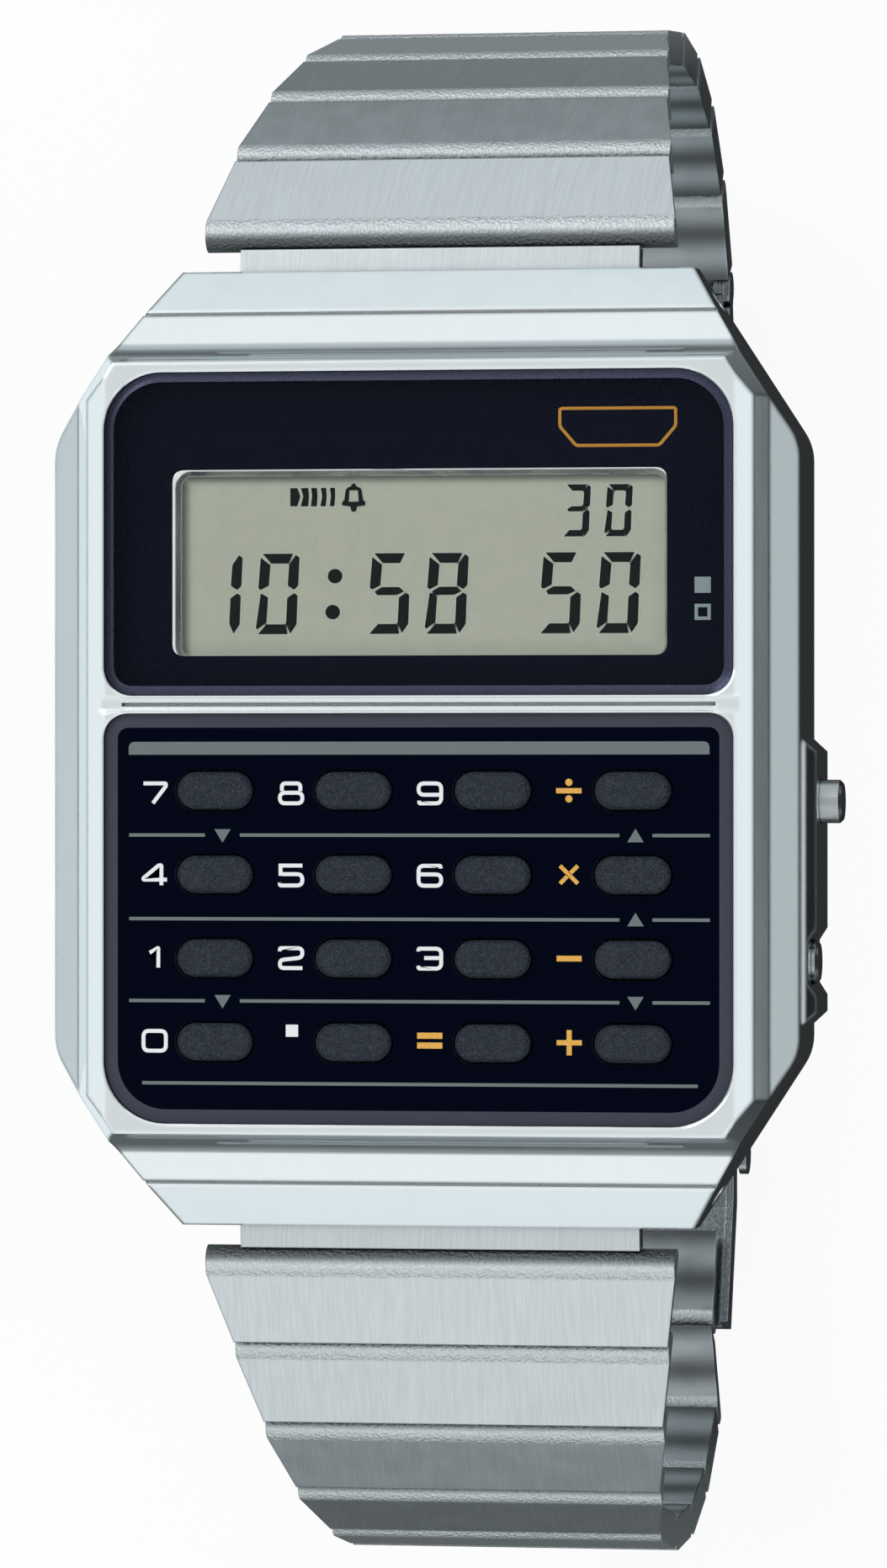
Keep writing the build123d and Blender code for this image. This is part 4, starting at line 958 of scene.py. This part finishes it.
for name, column, row in LEGENDS:
    for kind, path in GLYPHS[name]:
        points = []
        for u, v in path:
            x = column + HALF_LINE + u * (LEGEND_WIDE - 2 * HALF_LINE)
            y = row + HALF_LINE + (1 - v) * (LEGEND_TALL - 2 * HALF_LINE)
            points.append(on_panel(x, y))
        white.stroke(points, LEGEND_LINE, CORNERS[kind], kind == "loop", LEGEND_STEPS)
white.area([on_panel(*point) for point in POINT_MARK])
white.done("keypad_digits", WHITE_INK)

# Operator signs: a stroke's width and its two ends, or a dot's radius and its middle
SIGN_DOT_STEPS = 20
SIGNS = (
    (0.23, (660.4, 940), (690.4, 940)),
    (0.16, (675.4, 930)),
    (0.16, (675.4, 949.6)),
    (0.18, (665, 1029), (686, 1050)),
    (0.18, (665, 1050), (674.4, 1040.6)),
    (0.18, (676.6, 1038.4), (686, 1029)),
    (0.25, (661, 1139), (690.5, 1139)),
    (0.27, (495.6, 1231.3), (525.5, 1231.3)),
    (0.27, (495.6, 1243), (525.5, 1243)),
    (0.23, (661, 1238.7), (690.7, 1238.7)),
    (0.23, (675.8, 1223.7), (675.8, 1235.6)),
    (0.23, (675.8, 1241.8), (675.8, 1253.7)),
)
gold = Print(PANEL_TOP - PANEL_SINK, LEGEND_COAT)
for size, *ends in SIGNS:
    places = [on_panel(*end) for end in ends]
    if len(places) == 1:
        gold.area(circle(*places[0], size, SIGN_DOT_STEPS))
    else:
        gold.stroke(places, size)
gold.done("keypad_signs", GOLD_INK)

# Washers on the clasp's pin, which fill the gaps beside the last link's tongue
WASHER_RADIUS = 0.8 * MM
WASHER_MIDDLE = 7.225 * MM
WASHER_WIDTH = 0.36 * MM
WASHER_STEPS = 40
washers = bmesh.new()
for side in (-1, 1):
    place = Matrix.Translation(Vector(JOINTS["clasp_plate"]["pos_m"]) + Vector((side * WASHER_MIDDLE, 0, 0)))
    bmesh.ops.create_cone(
        washers, cap_ends=True, segments=WASHER_STEPS, radius1=WASHER_RADIUS, radius2=WASHER_RADIUS,
        depth=WASHER_WIDTH, matrix=place @ Matrix.Rotation(math.pi / 2, 4, "Y"),
    )
piece(washers, "clasp_washers", MATERIALS["clasp_steel"], "clasp_plate")


# ---------------------------------------------------------------- studio


def seen(nodes):
    """One for rays from the camera and for what metal and glass show, nought for the rest."""
    path = nodes.node("ShaderNodeLightPath")
    mirrored = nodes.sum("MAXIMUM", path.outputs["Is Glossy Ray"], path.outputs["Is Transmission Ray"])
    return nodes.sum("MAXIMUM", path.outputs["Is Camera Ray"], mirrored)


def level_square(half, height):
    return [(x * half, y * half, height) for x, y in ((-1, -1), (1, -1), (1, 1), (-1, 1))]


def staged(name, corners):
    """A flat piece of the studio between its corners, in mm."""
    mesh = bpy.data.meshes.new(name)
    mesh.from_pydata([Vector(point) * MM for point in corners], [], [tuple(range(len(corners)))])
    made = bpy.data.objects.new(name, mesh)
    bpy.context.scene.collection.objects.link(made)
    material = bpy.data.materials.new(f"{name}_paint")
    material.use_nodes = True
    mesh.materials.append(material)
    return made, Nodes(material.node_tree)


world = bpy.data.worlds.new("studio")
bpy.context.scene.world = world
world.use_nodes = True
sky = Nodes(world.node_tree)
ROOM_TINT, ROOM_GLOW = (0.97, 0.985, 1.0), 0.8
room = sky.glow("ShaderNodeBackground", ROOM_TINT, ROOM_GLOW)
backdrop = sky.glow("ShaderNodeBackground", WHITE, 1.0)
sky.blend(seen(sky), room, backdrop, "ShaderNodeOutputWorld")

# Sizes and heights of the studio's pieces are in mm
FLOOR_HALF = 3000
FLOOR_COLOUR = (0.92, 0.92, 0.92)
FLOOR_GLOW_SHARE = 0.9
ground = staged("floor", level_square(FLOOR_HALF, 0))[1]
matt = ground.node("ShaderNodeBsdfDiffuse")
ground.plug(matt.inputs[0], FLOOR_COLOUR)
pale = ground.glow("ShaderNodeEmission", WHITE, 1.0)
glow_share = ground.sum("MULTIPLY", seen(ground), FLOOR_GLOW_SHARE)
ground.blend(glow_share, matt.outputs[0], pale, "ShaderNodeOutputMaterial")


def card(name, corners, tint, glow):
    """A card that only polished surfaces show; glow makes its brightness from its nodes and a place on it."""
    made, nodes = staged(name, corners)
    place = nodes.node("ShaderNodeTexCoord").outputs["Object"]
    shine = nodes.glow("ShaderNodeEmission", tint, glow(nodes, place))
    nodes.plug(nodes.node("ShaderNodeOutputMaterial").inputs[0], shine)
    made.visible_camera = False
    made.visible_diffuse = False
    made.visible_shadow = False
    made.visible_transmission = False


# Floor card: its brightness by how far out along Y, which the band shows, and by how far out along X,
# which the case's sides show; it turns from one to the other where Y outgrows X
FLOOR_CARD_HALF, FLOOR_CARD_HEIGHT = 400, 0.6
FLOOR_CARD_TINT = (0.9, 0.97, 1.0)
ALONG_REACH = 0.85
ALONG_START, ALONG_FULL = -5 * MM, 15 * MM
# Both ramps are dark under and around the watch, a painted shadow of the watch on the floor that only
# reflections show
FLOOR_ALONG = (
    (-400, 0.92), (-300, 0.92), (-190, 0.5), (-150, 0.3), (-90, 0.13), (-40, 0.13), (-34, 0.03), (34, 0.03),
    (40, 0.3), (58, 0.3), (74, 0.13), (92, 0.2), (130, 0.55), (230, 0.87), (400, 0.87),
)
FLOOR_ACROSS = (
    (-400, 1.0), (-62, 1.0), (-38, 0.3), (0, 0.03), (60, 0.03), (112, 0.03), (128, 0.3), (142, 0.3),
    (158, 0.03), (210, 0.06), (260, 0.5), (400, 1.0),
)


def floor_glow(nodes, place):
    x, y = nodes.axis(place, 0), nodes.axis(place, 1)
    far = nodes.sum("SQRT", nodes.sum("ADD", nodes.sum("MULTIPLY", x, x), nodes.sum("MULTIPLY", y, y)))
    reach = nodes.sum("MULTIPLY", far, nodes.sum("SIGN", x))
    wide = nodes.sum("MULTIPLY", nodes.sum("ABSOLUTE", x), ALONG_REACH)
    outgrown = nodes.sum("SUBTRACT", nodes.sum("ABSOLUTE", y), wide)
    share = nodes.span(outgrown, ALONG_START, ALONG_FULL)
    return nodes.mix(share, nodes.ramp(reach, FLOOR_ACROSS), nodes.ramp(y, FLOOR_ALONG))


card("floor_card", level_square(FLOOR_CARD_HALF, FLOOR_CARD_HEIGHT), FLOOR_CARD_TINT, floor_glow)

# Upright cards left and right of the watch, dark at the bottom, which its bevelled sides show
SIDE_REACH = 350
SIDE_HALF = 600
SIDE_FOOT = 5
SIDE_TINT = (0.92, 0.98, 1.0)
LEFT_RISE = ((0, 0.03), (85, 0.03), (118, 0.7), (215, 0.7), (270, 1.0), (300, 1.0))
RIGHT_RISE = ((0, 0.02), (170, 0.02), (240, 0.57), (390, 0.57), (520, 1.0), (560, 1.0))
for name, side, rise in (("left_card", -1, LEFT_RISE), ("right_card", 1, RIGHT_RISE)):
    reach, top = side * SIDE_REACH, rise[-1][0]
    edges = ((-SIDE_HALF, SIDE_FOOT), (SIDE_HALF, SIDE_FOOT), (SIDE_HALF, top), (-SIDE_HALF, top))
    card(
        name, [(reach, y, z) for y, z in edges], SIDE_TINT,
        lambda nodes, place, rise=rise: nodes.ramp(nodes.axis(place, 2), rise),
    )

# Pale card high above, which the level faces show
TOP_CARD_HALF, TOP_CARD_HEIGHT, TOP_CARD_GLOW = 240, 640, 0.8
card("top_card", level_square(TOP_CARD_HALF, TOP_CARD_HEIGHT), WHITE, lambda nodes, place: TOP_CARD_GLOW)


def lamp(name, place, power, size):
    """A soft square lamp that faces the dial."""
    light = bpy.data.lights.new(name, "AREA")
    light.energy = power
    light.size = size * MM
    made = bpy.data.objects.new(name, light)
    made.location = Vector(place) * MM
    way = Vector((0, 0, DIAL_LEVEL)) - Vector(place)
    made.rotation_euler = way.to_track_quat("-Z", "Y").to_euler()
    bpy.context.scene.collection.objects.link(made)


lamp("key_lamp", (-320, 300, 480), power=0.9, size=320)
lamp("fill_lamp", (380, -260, 420), power=0.35, size=360)

camera_data = bpy.data.cameras.new("camera")
camera_data.sensor_fit = "VERTICAL"
camera_data.sensor_height = SENSOR
camera_data.lens = LENS
camera_data.clip_start = 0.01
camera_data.clip_end = 20.0
camera = bpy.data.objects.new("camera", camera_data)
camera.location = Vector((
    AIM[0] + DISTANCE * math.sin(math.radians(TURN)),
    AIM[1],
    AIM[2] + DISTANCE * math.cos(math.radians(TURN)),
)) * MM
camera.rotation_euler = (0, math.radians(TURN), 0)
bpy.context.scene.collection.objects.link(camera)
bpy.context.scene.camera = camera
bpy.context.scene.view_settings.view_transform = "Standard"
